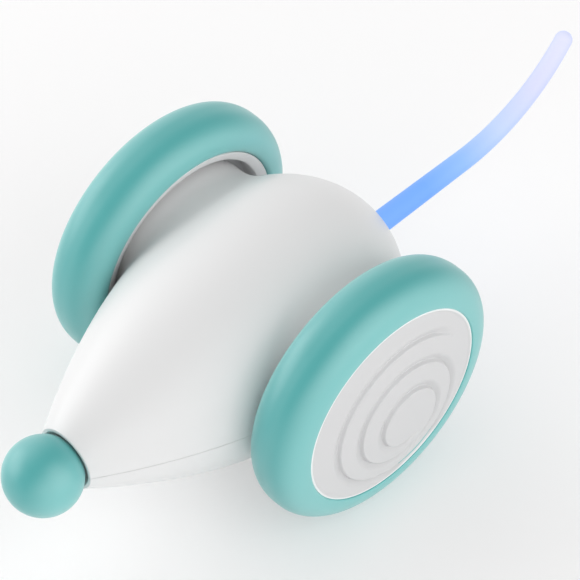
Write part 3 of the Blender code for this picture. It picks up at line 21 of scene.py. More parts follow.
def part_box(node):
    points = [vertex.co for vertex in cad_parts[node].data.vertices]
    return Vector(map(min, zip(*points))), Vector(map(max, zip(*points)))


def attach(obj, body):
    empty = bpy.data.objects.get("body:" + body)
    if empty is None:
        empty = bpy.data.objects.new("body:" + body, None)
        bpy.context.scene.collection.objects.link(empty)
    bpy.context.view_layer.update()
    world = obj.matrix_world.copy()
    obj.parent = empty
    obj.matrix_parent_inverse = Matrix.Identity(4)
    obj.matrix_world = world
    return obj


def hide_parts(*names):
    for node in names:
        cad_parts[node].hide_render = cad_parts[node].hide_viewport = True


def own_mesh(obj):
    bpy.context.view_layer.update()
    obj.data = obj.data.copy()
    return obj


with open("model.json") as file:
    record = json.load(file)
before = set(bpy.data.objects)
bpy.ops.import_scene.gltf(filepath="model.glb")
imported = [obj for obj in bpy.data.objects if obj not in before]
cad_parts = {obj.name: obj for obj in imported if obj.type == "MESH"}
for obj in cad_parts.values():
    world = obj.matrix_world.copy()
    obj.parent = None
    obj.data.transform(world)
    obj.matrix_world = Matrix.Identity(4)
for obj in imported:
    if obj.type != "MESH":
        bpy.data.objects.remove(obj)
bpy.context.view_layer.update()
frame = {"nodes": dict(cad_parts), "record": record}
MM = 0.001
QUARTER = math.pi / 2

# %% [markdown]
# ## Sizes
#
# The places of the pieces are read off the CAD nodes, so the dressing follows when they move. The
# curves of the housing, the tyre, the groove and the tail have the same formulas as in the CAD.

# %% Sizes
tyre_low, tyre_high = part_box("left_tyre")
cap_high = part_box("left_hub_cap")[1]
hub_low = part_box("left_hub")[0]
ball_low, ball_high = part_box("nose_ball")
tail_low, tail_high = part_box("tail")
button_low, button_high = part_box("power_button")
port_low, port_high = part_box("charging_port")

AXLE = Vector((0, (tyre_low.y + tyre_high.y) / 2, (tyre_low.z + tyre_high.z) / 2))
WHEEL_RADIUS = (tyre_high.z - tyre_low.z) / 2
HALF_TRACK = 34.8 * MM

BODY_RADIUS = 30.8 * MM
NOSE_REACH = 78.9 * MM
NOSE_POWER = 1.85
REAR_REACH = 36.3 * MM
NOSE_RIM_Y = -66.3 * MM
TAIL_RIM_RADIUS = 4.0 * MM
WALL = 1.8 * MM
BOSS_RADIUS = 22.6 * MM
BOSS_END = 31.2 * MM
FILLET = 5.5 * MM
FILLET_END_SHARE = 0.7
BULKHEAD_Y = -58.3 * MM
TAIL_WALL_Y = 33.2 * MM
SEAM = 0.10 * MM


def in_mm(corner):
    return tuple(round(value / MM, 2) for value in corner)


print("axle middle at", in_mm(AXLE), f"mm, wheel radius {WHEEL_RADIUS / MM:.2f} mm")

# %% [markdown]
# ## Camera
#
# The photograph was taken from above and ahead of the mouse's left wheel with a long lens: the
# tyre's ellipses give the direction, and the faint perspective between the two wheels the distance.

# %% Camera
CAMERA_AZIMUTH = math.radians(45.38)
CAMERA_ELEVATION = math.radians(49.67)
CAMERA_DISTANCE = 1.051
SENSOR_WIDTH, FOCAL_LENGTH = 36, 269.4  # in millimetres, as on a lens
AIM = AXLE + Vector((1.6, 6.2, 2.7)) * MM


def direction(azimuth, elevation):
    """From the object towards a viewer or a light that looks along +Y at azimuth 0."""
    level = math.cos(elevation)
    return Vector((math.sin(azimuth) * level, -math.cos(azimuth) * level, math.sin(elevation)))


def add_object(name, data):
    made = bpy.data.objects.new(name, data)
    bpy.context.scene.collection.objects.link(made)
    return made


camera = add_object("camera", bpy.data.cameras.new("camera"))
camera.data.sensor_width = SENSOR_WIDTH
camera.data.lens = FOCAL_LENGTH
camera.location = AIM + direction(CAMERA_AZIMUTH, CAMERA_ELEVATION) * CAMERA_DISTANCE
camera.rotation_euler = (QUARTER - CAMERA_ELEVATION, 0, CAMERA_AZIMUTH)
bpy.context.scene.camera = camera
bpy.context.scene.view_settings.view_transform = "Standard"
print("camera at", tuple(round(v, 3) for v in camera.location))

# %% [markdown]
# ## Shader helpers
#
# Short functions add the nodes. Two effects that most surfaces share are node groups: a fine grain,
# which breaks up reflections, and a slow drift of tone, because nothing large has one flat colour.

# %% Shader helpers
GRAIN_HEIGHT = 0.02 * MM
NOISE_MIDDLE = 0.5


def add_node(tree, kind, inputs=None, **settings):
    """A node. Each input is a number, a colour of three numbers, or the output that feeds it."""
    node = tree.nodes.new(kind)
    for name, value in settings.items():
        setattr(node, name, value)
    for socket, value in (inputs or {}).items():
        if isinstance(value, bpy.types.NodeSocket):
            tree.links.new(value, node.inputs[socket])
        else:
            node.inputs[socket].default_value = (*value, 1.0) if isinstance(value, tuple) else value
    return node


def calculate(tree, operation, *values, kind="ShaderNodeMath"):
    return add_node(tree, kind, dict(enumerate(values)), operation=operation).outputs[0]


def mix_colours(tree, share, first, second, blend="MIX"):
    inputs = {"Factor": share, "A": first, "B": second}
    node = add_node(tree, "ShaderNodeMix", inputs, data_type="RGBA", blend_type=blend)
    return node.outputs["Result"]


def mix_shaders(tree, share, first, second):
    return add_node(tree, "ShaderNodeMixShader", {0: share, 1: first, 2: second}).outputs["Shader"]


def noise(tree, **inputs):
    inputs["Vector"] = add_node(tree, "ShaderNodeTexCoord").outputs["Object"]
    return add_node(tree, "ShaderNodeTexNoise", inputs).outputs["Fac"]


def sideways_step(tree, coordinate, span, levels=(0.0, 1.0)):
    """A smooth step between two levels, over how far a direction turns towards the axle's."""
    place = add_node(tree, "ShaderNodeTexCoord")
    parts = add_node(tree, "ShaderNodeSeparateXYZ", {"Vector": place.outputs[coordinate]})
    inputs = dict(zip(("From Min", "From Max", "To Min", "To Max"), (*span, *levels)))
    inputs["Value"] = calculate(tree, "ABSOLUTE", parts.outputs["X"])
    step = add_node(tree, "ShaderNodeMapRange", inputs, interpolation_type="SMOOTHSTEP")
    return step.outputs["Result"]


def new_group(name, inputs, outputs):
    """A node group and its inputs. A number gives an input its default, a tuple is a colour."""
    tree = bpy.data.node_groups.new(name, "ShaderNodeTree")
    for label, default in inputs.items():
        is_colour = isinstance(default, tuple)
        kind = "NodeSocketColor" if is_colour else "NodeSocketFloat"
        socket = tree.interface.new_socket(label, in_out="INPUT", socket_type=kind)
        socket.default_value = (*default, 1.0) if is_colour else default
    for label, kind in outputs.items():
        tree.interface.new_socket(label, in_out="OUTPUT", socket_type=kind)
    return tree, add_node(tree, "NodeGroupInput").outputs


def make_grain_group():
    """A fine bump, and a roughness that drifts in patches."""
    tree, given = new_group(
        "moulded grain",
        {"Scale": 2500.0, "Depth": 0.1, "Roughness": 0.4, "Spread": 0.05},
        {"Normal": "NodeSocketVector", "Roughness": "NodeSocketFloat"},
    )
    height = noise(tree, Scale=given["Scale"], Detail=3.0)
    bump_inputs = {"Height": height, "Strength": given["Depth"], "Distance": GRAIN_HEIGHT}
    bump = add_node(tree, "ShaderNodeBump", bump_inputs)
    centred = calculate(tree, "SUBTRACT", noise(tree, Scale=60.0), NOISE_MIDDLE)
    rough = calculate(tree, "MULTIPLY_ADD", centred, given["Spread"], given["Roughness"])
    add_node(tree, "NodeGroupOutput", {"Normal": bump.outputs["Normal"], "Roughness": rough})
    return tree


def make_tone_group():
    """A colour that grows lighter and darker over the surface."""
    tree, given = new_group(
        "tone drift",
        {"Color": (0.8, 0.8, 0.8), "Scale": 25.0, "Amount": 0.03},
        {"Color": "NodeSocketColor"},
    )
    cloud = noise(tree, Scale=given["Scale"], Detail=4.0)
    centred = calculate(tree, "SUBTRACT", cloud, NOISE_MIDDLE)
    value = calculate(tree, "MULTIPLY_ADD", centred, given["Amount"], 1.0)
    shade = add_node(tree, "ShaderNodeHueSaturation", {"Color": given["Color"], "Value": value})
    add_node(tree, "NodeGroupOutput", {"Color": shade.outputs["Color"]})
    return tree


GRAIN = make_grain_group()
TONE = make_tone_group()


def moulded(name, colour, roughness, grain=0.1, spread=0.05, drift=0.02, **sockets):
    """A moulded plastic, rubber or metal: tone drift for the colour, grain for the highlights.

    The colour is three numbers, or a function that adds nodes and gives back their output.
    """
    material = bpy.data.materials.new(name)
    material.use_nodes = True
    tree = material.node_tree
    shader = tree.nodes["Principled BSDF"]
    tone_inputs = {"Color": colour(tree) if callable(colour) else colour, "Amount": drift}
    tone = add_node(tree, "ShaderNodeGroup", tone_inputs, node_tree=TONE)
    inputs = {"Depth": grain, "Roughness": roughness, "Spread": spread}
    surface = add_node(tree, "ShaderNodeGroup", inputs, node_tree=GRAIN, name="grain")
    tree.links.new(tone.outputs["Color"], shader.inputs["Base Color"])
    for label in ("Roughness", "Normal"):
        tree.links.new(surface.outputs[label], shader.inputs[label])
    for label, value in sockets.items():
        shader.inputs[label.replace("_", " ")].default_value = value
    return material


print("node groups:", GRAIN.name, "and", TONE.name)

# %% [markdown]
# ## Light
#
# Product pictures of white toys are lit softly from both sides, so that a white shape still shows
# its form against a white floor. The world does most of it: two white walls, left and right of the
# toy, with a dim front and ceiling between them. Area lamps add a soft direction: a large one at
# the left of the picture, and weak ones overhead, at the right and in front.

# %% Light
LAMPS = {
    # name: (azimuth, elevation, width, height, power), in degrees, metres and watts
    "left_softbox": (300, 16, 0.90, 0.60, 2.4),
    "left_overhead": (278, 50, 0.60, 0.80, 0.5),
    "right_softbox": (98, 10, 0.60, 0.60, 0.3),
    "right_overhead": (100, 50, 0.60, 0.60, 0.6),
    "front_fill": (25, 8, 0.60, 0.60, 0.4),
}
LAMP_DISTANCE = 0.9
FRONT_LIGHT, SIDE_LIGHT = 0.42, 1.60
SIDE_LIGHT_SPAN = (0.2, 0.9)  # of the direction's X, from where the walls begin to where they peak


def add_lamp(name, azimuth, elevation, width, height, power):
    lamp = add_object(name, bpy.data.lights.new(name, "AREA"))
    lamp.data.shape, lamp.data.size, lamp.data.size_y = "RECTANGLE", width, height
    lamp.data.energy = power
    away = direction(math.radians(azimuth), math.radians(elevation))
    lamp.location = AXLE + away * LAMP_DISTANCE
    lamp.rotation_euler = away.to_track_quat("Z", "Y").to_euler()


def make_world():
    """Two white walls, left and right: the light falls off away from the axle's direction."""
    world = bpy.data.worlds.new("studio")
    world.use_nodes = True
    tree = world.node_tree
    background = tree.nodes["Background"]
    background.inputs["Color"].default_value = (1, 1, 1, 1)
    strength = sideways_step(tree, "Generated", SIDE_LIGHT_SPAN, (FRONT_LIGHT, SIDE_LIGHT))
    tree.links.new(strength, background.inputs["Strength"])
    return world


for name, settings in LAMPS.items():
    add_lamp(name, *settings)
bpy.context.scene.world = make_world()
print("lamps:", ", ".join(LAMPS))

# %% [markdown]
# ## Floor
#
# The floor is white paper. Eyes, reflections and glass see it a little brighter than it is lit, so
# the ground stays white while the toy's soft shadow still falls on it. Its underside is clear, so
# the belly can be looked at from below.

# %% Floor
FLOOR_SIZE = 6.0
FLOOR_COLOUR = (0.975, 0.965, 0.965)
FLOOR_LIFT = 0.30
FLOOR_DROP = 0.05 * MM
SQUARE = np.array([(-1, -1), (1, -1), (1, 1), (-1, 1)])


def make_floor_material():
    """Paper, with a share of glow for the rays that show it, on its upper side only."""
    dull = {"grain": 0.0, "drift": 0.01, "Specular_IOR_Level": 0.0}
    paper = moulded("floor_paper", FLOOR_COLOUR, 0.9, **dull)
    tree = paper.node_tree
    rays = add_node(tree, "ShaderNodeLightPath").outputs
    shown = calculate(tree, "MAXIMUM", rays["Is Camera Ray"], rays["Is Glossy Ray"])
    shown = calculate(tree, "MAXIMUM", shown, rays["Is Transmission Ray"])
    lift = calculate(tree, "MULTIPLY", shown, FLOOR_LIFT)
    lit = tree.nodes["Principled BSDF"].outputs["BSDF"]
    glow = add_node(tree, "ShaderNodeEmission").outputs["Emission"]
    clear = add_node(tree, "ShaderNodeBsdfTransparent").outputs["BSDF"]
    underside = add_node(tree, "ShaderNodeNewGeometry").outputs["Backfacing"]
    one_sided = mix_shaders(tree, underside, mix_shaders(tree, lift, lit, glow), clear)
    tree.links.new(one_sided, tree.nodes["Material Output"].inputs["Surface"])
    return paper


floor_mesh = bpy.data.meshes.new("floor")
floor_corners = [(x, y, 0) for x, y in (SQUARE * FLOOR_SIZE / 2).tolist()]
floor_mesh.from_pydata(floor_corners, [], [(0, 1, 2, 3)])
floor_mesh.materials.append(make_floor_material())
floor = add_object("floor", floor_mesh)
floor.location.z = -FLOOR_DROP
print("floor:", FLOOR_SIZE, "m across")

# %% [markdown]
# ## Mesh helpers
#
# Nearly every piece here is turned or swept, so one helper skins a list of rings, and another
# rounds the corners of an outline before it is turned, because no moulded edge is truly sharp.

# %% Mesh helpers
SIDES = (("left", 1), ("right", -1))
AXIS_ORDER = {"X": (0, 1, 2), "Y": (1, 0, 2), "Z": (2, 0, 1)}
CORNER_LIMIT = 0.45  # the share of a side that one rounded corner may take
TINY = 1e-9


def mesh_of_rings(name, rings, closed=False):
    """A mesh through rings of points, where one point is a pole. Closed joins last to first."""
    rings = [np.atleast_2d(np.asarray(ring, float)) for ring in rings]
    starts = np.cumsum([0] + [len(ring) for ring in rings])
    faces = []
    for a in range(len(rings) if closed else len(rings) - 1):
        b = (a + 1) % len(rings)
        count = max(len(rings[a]), len(rings[b]))
        here, ahead = np.arange(count), (np.arange(count) + 1) % count
        low = starts[a] + here % len(rings[a]), starts[a] + ahead % len(rings[a])
        high = starts[b] + here % len(rings[b]), starts[b] + ahead % len(rings[b])
        if len(rings[a]) == 1:
            corners = (low[0], high[1], high[0])
        elif len(rings[b]) == 1:
            corners = (low[0], low[1], high[0])
        else:
            corners = (low[0], low[1], high[1], high[0])
        faces += np.stack(corners, 1).tolist()
    mesh = bpy.data.meshes.new(name)
    mesh.from_pydata(np.concatenate(rings).tolist(), [], faces)
    return mesh


def face_outwards(mesh):
    bm = bmesh.new()
    bm.from_mesh(mesh)
    bmesh.ops.recalc_face_normals(bm, faces=bm.faces)
    bm.to_mesh(mesh)
    bm.free()
    return mesh


def mark_points(mesh, name, values):
    """Keeps a number for each point on the mesh, where a shader can read it."""
    mesh.attributes.new(name, "FLOAT", "POINT").data.foreach_set("value", values)


def smoothstep(value):
    """From 0 to 1 without a kink at either end."""
    value = np.clip(value, 0, 1)
    return value * value * (3 - 2 * value)


def round_angles(count):
    return np.arange(count) * math.tau / count


def curve_point(start, pull, end, share):
    """A point of the curve that leaves start towards pull and reaches end from there."""
    return (1 - share) ** 2 * start + 2 * share * (1 - share) * pull + share**2 * end


def rounded(corners, radius, steps=4):
    """An outline with its corners rounded off, except its two ends."""
    corners = [np.array(c, float) for c in corners]
    points = [corners[0]]
    for before, corner, after in zip(corners, corners[1:], corners[2:]):
        back, ahead = before - corner, after - corner
        sides = np.linalg.norm(back), np.linalg.norm(ahead)
        reach = min(radius, CORNER_LIMIT * sides[0], CORNER_LIMIT * sides[1])
        start, end = corner + back / sides[0] * reach, corner + ahead / sides[1] * reach
        points += [curve_point(start, corner, end, share) for share in np.linspace(0, 1, steps)]
    return points + [corners[-1]]


def lathe(name, outline, sides, axis="X", centre=(0, 0, 0), closed=False):
    """Turns an outline of (along, radius) points about an axis through a centre."""
    angles = round_angles(sides)
    along_index, a_index, b_index = AXIS_ORDER[axis]
    rings = []
    for along, radius in outline:
        if radius < TINY:
            ring = np.zeros((1, 3))
        else:
            ring = np.zeros((sides, 3))
            ring[:, a_index] = radius * np.cos(angles)
            ring[:, b_index] = radius * np.sin(angles)
        ring[:, along_index] = along
        rings.append(ring + np.array(centre))
    return face_outwards(mesh_of_rings(name, rings, closed))


def cylinder(name, low, high, radius, sides, axis="X", centre=(0, 0, 0)):
    return lathe(name, [(low, 0), (low, radius), (high, radius), (high, 0)], sides, axis, centre)


def dress(name, mesh, material, body, slot, *nodes, smooth_angle=40):
    """Makes the mesh a shown piece: smooth, on its CAD body, in place of its CAD nodes."""
    mesh.materials.clear()
    mesh.materials.append(material)
    mesh.shade_smooth()
    mesh.set_sharp_from_angle(angle=math.radians(smooth_angle))
    obj = add_object(name, mesh)
    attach(obj, body)
    if nodes:
        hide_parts(*nodes)
    return obj


def mirrored(mesh, name):
    """A copy for the other side of the toy."""
    copy = mesh.copy()
    copy.name = name
    copy.transform(Matrix.Scale(-1, 4, (1, 0, 0)))
    copy.flip_normals()
    return copy


def dress_wheels(part, left_mesh, material, slot, node, smooth_angle=40):
    """Dresses the left wheel with a mesh, and the right wheel with its mirror image."""
    for side, sign in SIDES:
        name = f"{side}_{part}_skin"
        mesh = left_mesh if sign > 0 else mirrored(left_mesh, name)
        body, cad_node = f"{side}_wheel", f"{side}_{node}"
        dress(name, mesh, material, body, slot, cad_node, smooth_angle=smooth_angle)


def cut(mesh, *tools, operation="DIFFERENCE"):
    """The mesh after exact Booleans with other meshes."""
    target = add_object("cutting", mesh)
    helpers = [add_object("tool", tool) for tool in tools]
    for helper in helpers:
        modifier = target.modifiers.new("cut", "BOOLEAN")
        modifier.operation, modifier.solver, modifier.object = operation, "EXACT", helper
    bpy.context.view_layer.update()
    evaluated = target.evaluated_get(bpy.context.evaluated_depsgraph_get())
    result = bpy.data.meshes.new_from_object(evaluated)
    for obj in (target, *helpers):
        bpy.data.objects.remove(obj)
    result.name = mesh.name
    return result


print("mesh helpers ready")

# %% [markdown]
# ## Tyres
#
# Each tyre is a soft silicone ring, moulded in one piece and stretched over its hub. The section is
# a superellipse, which is a little squarer than a circle, so the tread is broad and the shoulders
# are full. The silicone is matte, with wide, dim highlights. Its flanks are painted paler than its
# crown, a painted reflection of the bright side walls, so the colour follows how far the surface
# turns towards the axle's direction. The nose ball wears the same painted reflection.

# %% Tyres
TYRE_OUTER_BULGE = tyre_high.x - HALF_TRACK
TYRE_INNER_BULGE = HALF_TRACK - tyre_low.x
TYRE_OUTER_EDGE = 0.35 * MM
TYRE_INNER_EDGE = 1.3 * MM
TYRE_ROUNDNESS = 2.1
TYRE_STEPS, TYRE_EDGE_STEPS, WHEEL_SIDES = 26, 7, 192
TREAD_FLAT = 1.0 * MM
DISC_RADIUS = 27.3 * MM
TYRE_SEAT = DISC_RADIUS + 0.04 * MM
BEAD_RADIUS = 26.4 * MM
BEAD_INSET = 0.6 * MM

TEAL = (0.065, 0.385, 0.38)
# Paler teal painted where the surface turns towards the axle: a painted reflection of the bright
# side walls.
PAINTED_SHEEN_TEAL = (0.17, 0.51, 0.50)
PAINTED_SHEEN_SPAN = (0.25, 0.95)  # of the normal's X, from where the painted sheen begins to where it is full


# Mixes in the painted sheen by how far the normal turns towards the axle.
def teal_colour(tree):
    share = sideways_step(tree, "Normal", PAINTED_SHEEN_SPAN)
    return mix_colours(tree, share, TEAL, PAINTED_SHEEN_TEAL)


def tyre_half(bulge, edge):
    """From the level band of the tread out to the widest place, and back in to the seat."""
    depth = WHEEL_RADIUS - TYRE_SEAT - edge
    level = TREAD_FLAT / 2
    half = []
    for angle in np.linspace(0, QUARTER, TYRE_STEPS):
        along = level + (bulge - level) * math.sin(angle) ** (2 / TYRE_ROUNDNESS)
        down = depth * (1 - abs(math.cos(angle)) ** (2 / TYRE_ROUNDNESS))
        half.append((along, WHEEL_RADIUS - down))
    for angle in np.linspace(0, QUARTER, TYRE_EDGE_STEPS + 1)[1:]:
        along = bulge - edge * (1 - math.cos(angle))
        half.append((along, TYRE_SEAT + edge * (1 - math.sin(angle))))
    return half


matte = {"grain": 0.12, "spread": 0.08, "Specular_IOR_Level": 0.9, "Sheen_Weight": 0.2}
teal = moulded("teal_silicone", teal_colour, 0.38, drift=0.03, **matte)
outer_half = tyre_half(TYRE_OUTER_BULGE, TYRE_OUTER_EDGE)
inner_half = tyre_half(TYRE_INNER_BULGE, TYRE_INNER_EDGE)
tyre_outline = [(HALF_TRACK + along, radius) for along, radius in outer_half[::-1]]
tyre_outline += [(HALF_TRACK - along, radius) for along, radius in inner_half]
bead_inner_x, bead_outer_x = tyre_outline[-1][0] + BEAD_INSET, tyre_outline[0][0] - BEAD_INSET
tyre_outline += [(bead_inner_x, BEAD_RADIUS), (bead_outer_x, BEAD_RADIUS)]
left_tyre = lathe("left_tyre_skin", tyre_outline, WHEEL_SIDES, centre=AXLE, closed=True)
dress_wheels("tyre", left_tyre, teal, "teal_silicone", "tyre")
print("tyres:", len(left_tyre.vertices), "points each")

# %% [markdown]
# ## Hub caps
#
# The white discs carry the toy's one ornament: a single spiral groove that opens in swirls, off
# centre. Its inner edge is crisp and its outer side is a gentle slope, so it reads as a fold in the
# surface. The disc is a polar grid, and each point sinks by a depth that depends on how far outside
# the spiral line it lies. A thin raised bead runs round the rim, and a lighter white is painted
# along it as a painted highlight, so the disc ends in a bright line against the tyre.

# %% Hub caps
SPIRAL_TURNS = 2.75
SPIRAL_START_RADIUS = 5.4 * MM
SPIRAL_PITCH = 6.2 * MM
SPIRAL_START_ANGLE = math.radians(305)
SPIRAL_MIDDLE = np.array((6.2, -13.4)) * MM
SPIRAL_DRIFT = np.array((-1.4, 3.0)) * MM
SPIRAL_ROUNDS = 12  # of solving for the turn, whose middle drifts with the turn itself
SPIRAL_SETTLED = 0.02  # turns: a point that still moves by more lies on no spiral line
GROOVE_DEPTH = 1.05 * MM
GROOVE_WIDTH = 3.2 * MM
GROOVE_NARROW_SHARE = 0.40
GROOVE_STEEP = 0.55 * MM
GROOVE_RUN_OUT = 0.06  # turns over which the groove fades at its ends
CAP_THICKNESS = 1.6 * MM
CAP_EDGE = 0.35 * MM
CAP_BEAD_HEIGHT = 0.30 * MM
CAP_BEAD_WIDTH = 1.1 * MM
FACE_RINGS, FACE_SIDES, CAP_EDGE_STEPS = 210, 640, 6

# A painted highlight: the disc's white turns lighter towards the rim over this fade.
PAINTED_HIGHLIGHT_FADE = 0.45 * MM
PAINTED_HIGHLIGHT_START = DISC_RADIUS - 1.5 * PAINTED_HIGHLIGHT_FADE
DISC_WHITE = (0.62, 0.62, 0.625)
PAINTED_HIGHLIGHT_WHITE = (0.92, 0.92, 0.92)


def disc_colour(tree):
    """Satin white, with a painted highlight: a lighter white along the cap's rim."""
    rim = add_node(tree, "ShaderNodeAttribute", attribute_name="rim")
    return mix_colours(tree, rim.outputs["Fac"], DISC_WHITE, PAINTED_HIGHLIGHT_WHITE)


def groove_depth(points):
    """How deep the face lies below its plane at each (y, z) point, measured from the axle."""
    depth = np.zeros(len(points))
    way = SPIRAL_DRIFT / np.linalg.norm(SPIRAL_DRIFT)
    for whole_turn in range(-1, math.ceil(SPIRAL_TURNS) + 1):
        turn = np.full(len(points), float(whole_turn))
        for _ in range(SPIRAL_ROUNDS):
            last = turn
            offset = points - (SPIRAL_MIDDLE + SPIRAL_DRIFT * turn[:, None])
            angle = np.arctan2(offset[:, 1], offset[:, 0])
            start = (SPIRAL_START_ANGLE - angle) / math.tau
            turn = start - np.floor(start) + whole_turn
        distance = np.linalg.norm(offset, axis=1)
        out = offset / np.maximum(distance, TINY)[:, None]
        beyond = distance - (SPIRAL_START_RADIUS + SPIRAL_PITCH * turn)
        openness = (1 + out @ way) / 2
        width = GROOVE_WIDTH * (GROOVE_NARROW_SHARE + (1 - GROOVE_NARROW_SHARE) * openness)
        slope = np.where(beyond > 0, smoothstep(1 - beyond / width), 0)
        wall = smoothstep(beyond / GROOVE_STEEP + 0.5)
        fade = np.clip(np.minimum(turn, SPIRAL_TURNS - turn) / GROOVE_RUN_OUT, 0, 1)
        settled = np.abs(turn - last) < SPIRAL_SETTLED
        section = np.where(beyond > GROOVE_STEEP / 2, slope, wall) * fade * settled
        depth = np.maximum(depth, GROOVE_DEPTH * section)
    return depth


disc_white = moulded("white_disc", disc_colour, 0.42, grain=0.10, spread=0.05, drift=0.012)
cap_face_x, cap_back_x = cap_high.x, cap_high.x - CAP_THICKNESS
face_radius = DISC_RADIUS - CAP_EDGE
angles = round_angles(FACE_SIDES)
circle = np.stack([np.cos(angles), np.sin(angles)], 1)
cap_side = [(cap_back_x, DISC_RADIUS)]
for angle in np.linspace(0, QUARTER, CAP_EDGE_STEPS + 1)[:-1]:
    x = cap_face_x + CAP_BEAD_HEIGHT - CAP_EDGE * (1 - math.sin(angle))
    cap_side.append((x, face_radius + CAP_EDGE * math.cos(angle)))
cap_rings = [np.array([[cap_back_x, 0, 0]])]
for x, radius in cap_side:
    cap_rings.append(np.column_stack([np.full(FACE_SIDES, x), radius * circle]))
for radius in np.linspace(face_radius, 0, FACE_RINGS + 1)[:-1]:
    bead = smoothstep(1 - (face_radius - radius) / (CAP_BEAD_WIDTH - CAP_EDGE))
    face = cap_face_x + CAP_BEAD_HEIGHT * bead - groove_depth(radius * circle)
    cap_rings.append(np.column_stack([face, radius * circle]))
cap_rings.append(np.array([[cap_face_x, 0, 0]]))
left_cap = mesh_of_rings("left_cap_skin", [ring + np.array(AXLE) for ring in cap_rings])
ring_radius = np.concatenate([np.hypot(ring[:, 1], ring[:, 2]) for ring in cap_rings])
# The share of the painted highlight at each point, by its distance from the axle.
mark_points(left_cap, "rim", np.clip((ring_radius - PAINTED_HIGHLIGHT_START) / PAINTED_HIGHLIGHT_FADE, 0, 1))
face_outwards(left_cap)
dress_wheels("cap", left_cap, disc_white, "white_disc", "hub_cap", smooth_angle=180)
print("hub caps:", len(left_cap.vertices), "points each")

# %% [markdown]
# ## Hubs
#
# Behind each cap sits a dished hub. From the middle of the toy only its white lip shows round the
# tyre's inner edge, and the shadowy cup that the housing's boss reaches into.

# %% Hubs
LIP_FACE = 7.7 * MM
LIP_DISHING = 0.8 * MM
LIP_WIDTH = 1.4 * MM
RIM_INNER_RADIUS = 24.7 * MM
CHANNEL_RADIUS = 25.8 * MM
WEB_INNER = hub_low.x + 5.2 * MM
WEB_OUTER = WEB_INNER + 2.0 * MM
HUB_BORE = 1.7 * MM
HUB_ROUND = 0.35 * MM

white = moulded("white_shell", (0.76, 0.76, 0.76), 0.34, grain=0.07, spread=0.05, drift=0.012)
lip_x = HALF_TRACK - LIP_FACE
hub_outline = [
    (WEB_INNER, HUB_BORE),
    (WEB_INNER, RIM_INNER_RADIUS),
    (lip_x + LIP_DISHING, RIM_INNER_RADIUS),
    (lip_x, DISC_RADIUS),
    (lip_x + LIP_WIDTH, DISC_RADIUS),
    (lip_x + LIP_WIDTH, CHANNEL_RADIUS),
    (cap_back_x, CHANNEL_RADIUS),
    (cap_back_x, RIM_INNER_RADIUS),
    (WEB_OUTER, RIM_INNER_RADIUS),
    (WEB_OUTER, HUB_BORE),
]
hub_outline = rounded(hub_outline, HUB_ROUND)
left_hub = lathe("left_hub_skin", hub_outline, WHEEL_SIDES, centre=AXLE, closed=True)
dress_wheels("hub", left_hub, white, "white_shell", "hub")
print("hubs: lip from", RIM_INNER_RADIUS / MM, "to", DISC_RADIUS / MM, "mm")

# %% [markdown]
# ## Housing
#
# The body is two halves of one drop, split at axle height. It is drawn as a skin on a grid that
# starts at the round end of a side boss, runs down its wall, over the fillet at its foot and out
# across the flank. Walls, seam and openings are then cut, as the mould's own cores and inserts form
# them.

# %% Housing
FILLET_ROUNDS = 30  # of halving, to find how far the fillet spreads over the flank
WELD_DISTANCE = 0.005 * MM
DROP_STEPS = (16, 72, 18, 12, 26)  # tail rim, top edge, nose rim, fillet and flank
CAVITY_STEPS = (8, 30, 8, 4, 10)


class Meridian:
    """The drop's outline in the plane through its axis, moved inwards, between two stations."""

    SAMPLES = 1200

    def __init__(self, inset, front, rear):
        share = np.linspace(0, 1, self.SAMPLES)
        ahead = -NOSE_REACH * (1 - share[:-1])
        y = np.concatenate([ahead, REAR_REACH * np.sin(share * QUARTER)])
        front_radius = BODY_RADIUS * (1 - (-ahead / NOSE_REACH) ** NOSE_POWER)
        radius = np.concatenate([front_radius, BODY_RADIUS * np.cos(share * QUARTER)])
        way_y, way_r = np.gradient(y), np.gradient(radius)
        length = np.hypot(way_y, way_r)
        y, radius = y + inset * way_r / length, radius - inset * way_y / length
        inside = (y > front) & (y < rear)
        ends = np.interp((front, rear), y, radius)
        self.y = np.concatenate([[front], y[inside], [rear]])
        self.radius = np.concatenate([[ends[0]], radius[inside], [ends[1]]])
        steps = np.hypot(np.diff(self.y), np.diff(self.radius))
        self.run = np.concatenate([[0], np.cumsum(steps)])
        heading = np.unwrap(np.arctan2(np.diff(self.radius), np.diff(self.y)))
        bend = np.concatenate([[0, 0], np.cumsum(np.abs(np.diff(heading)))])
        self.crowding = self.run + BODY_RADIUS * bend

    def stations(self, steps):
        """Runs from the rear to the front, closest together where the outline bends most."""
        marks = np.linspace(self.crowding[-1], 0, steps + 1)
        return list(np.interp(marks, self.crowding, self.run))

    def skin_point(self, run, roll):
        y = float(np.interp(run, self.run, self.y))
        radius = float(np.interp(run, self.run, self.radius))
        return np.array((radius * math.cos(roll), y, radius * math.sin(roll)))

    def side_point(self, bearing, reach):
        """The point of the skin seen along X at a reach from the axle, with its run and roll."""
        y, z = reach * math.cos(bearing), reach * math.sin(bearing)
        radius = float(np.interp(y, self.y, self.radius))
        roll = math.asin(max(-1, min(1, z / radius)))
        point = np.array((radius * math.cos(roll), y, z))
        return point, float(np.interp(y, self.y, self.run)), roll


def flank_edge(line, tail_steps, top_steps, nose_steps):
    """(run, roll) points once round a flank: tail rim, top edge, nose rim and bottom edge."""
    rear = line.run[-1]
    top = line.stations(top_steps)
    edge = [(rear, QUARTER * step / tail_steps) for step in range(tail_steps)]
    edge += [(run, QUARTER) for run in top[:-1]]
    edge += [(0, QUARTER * (1 - step / nose_steps)) for step in range(2 * nose_steps)]
    edge += [(run, -QUARTER) for run in top[:0:-1]]
    return edge + [(rear, QUARTER * (step / tail_steps - 1)) for step in range(tail_steps)]


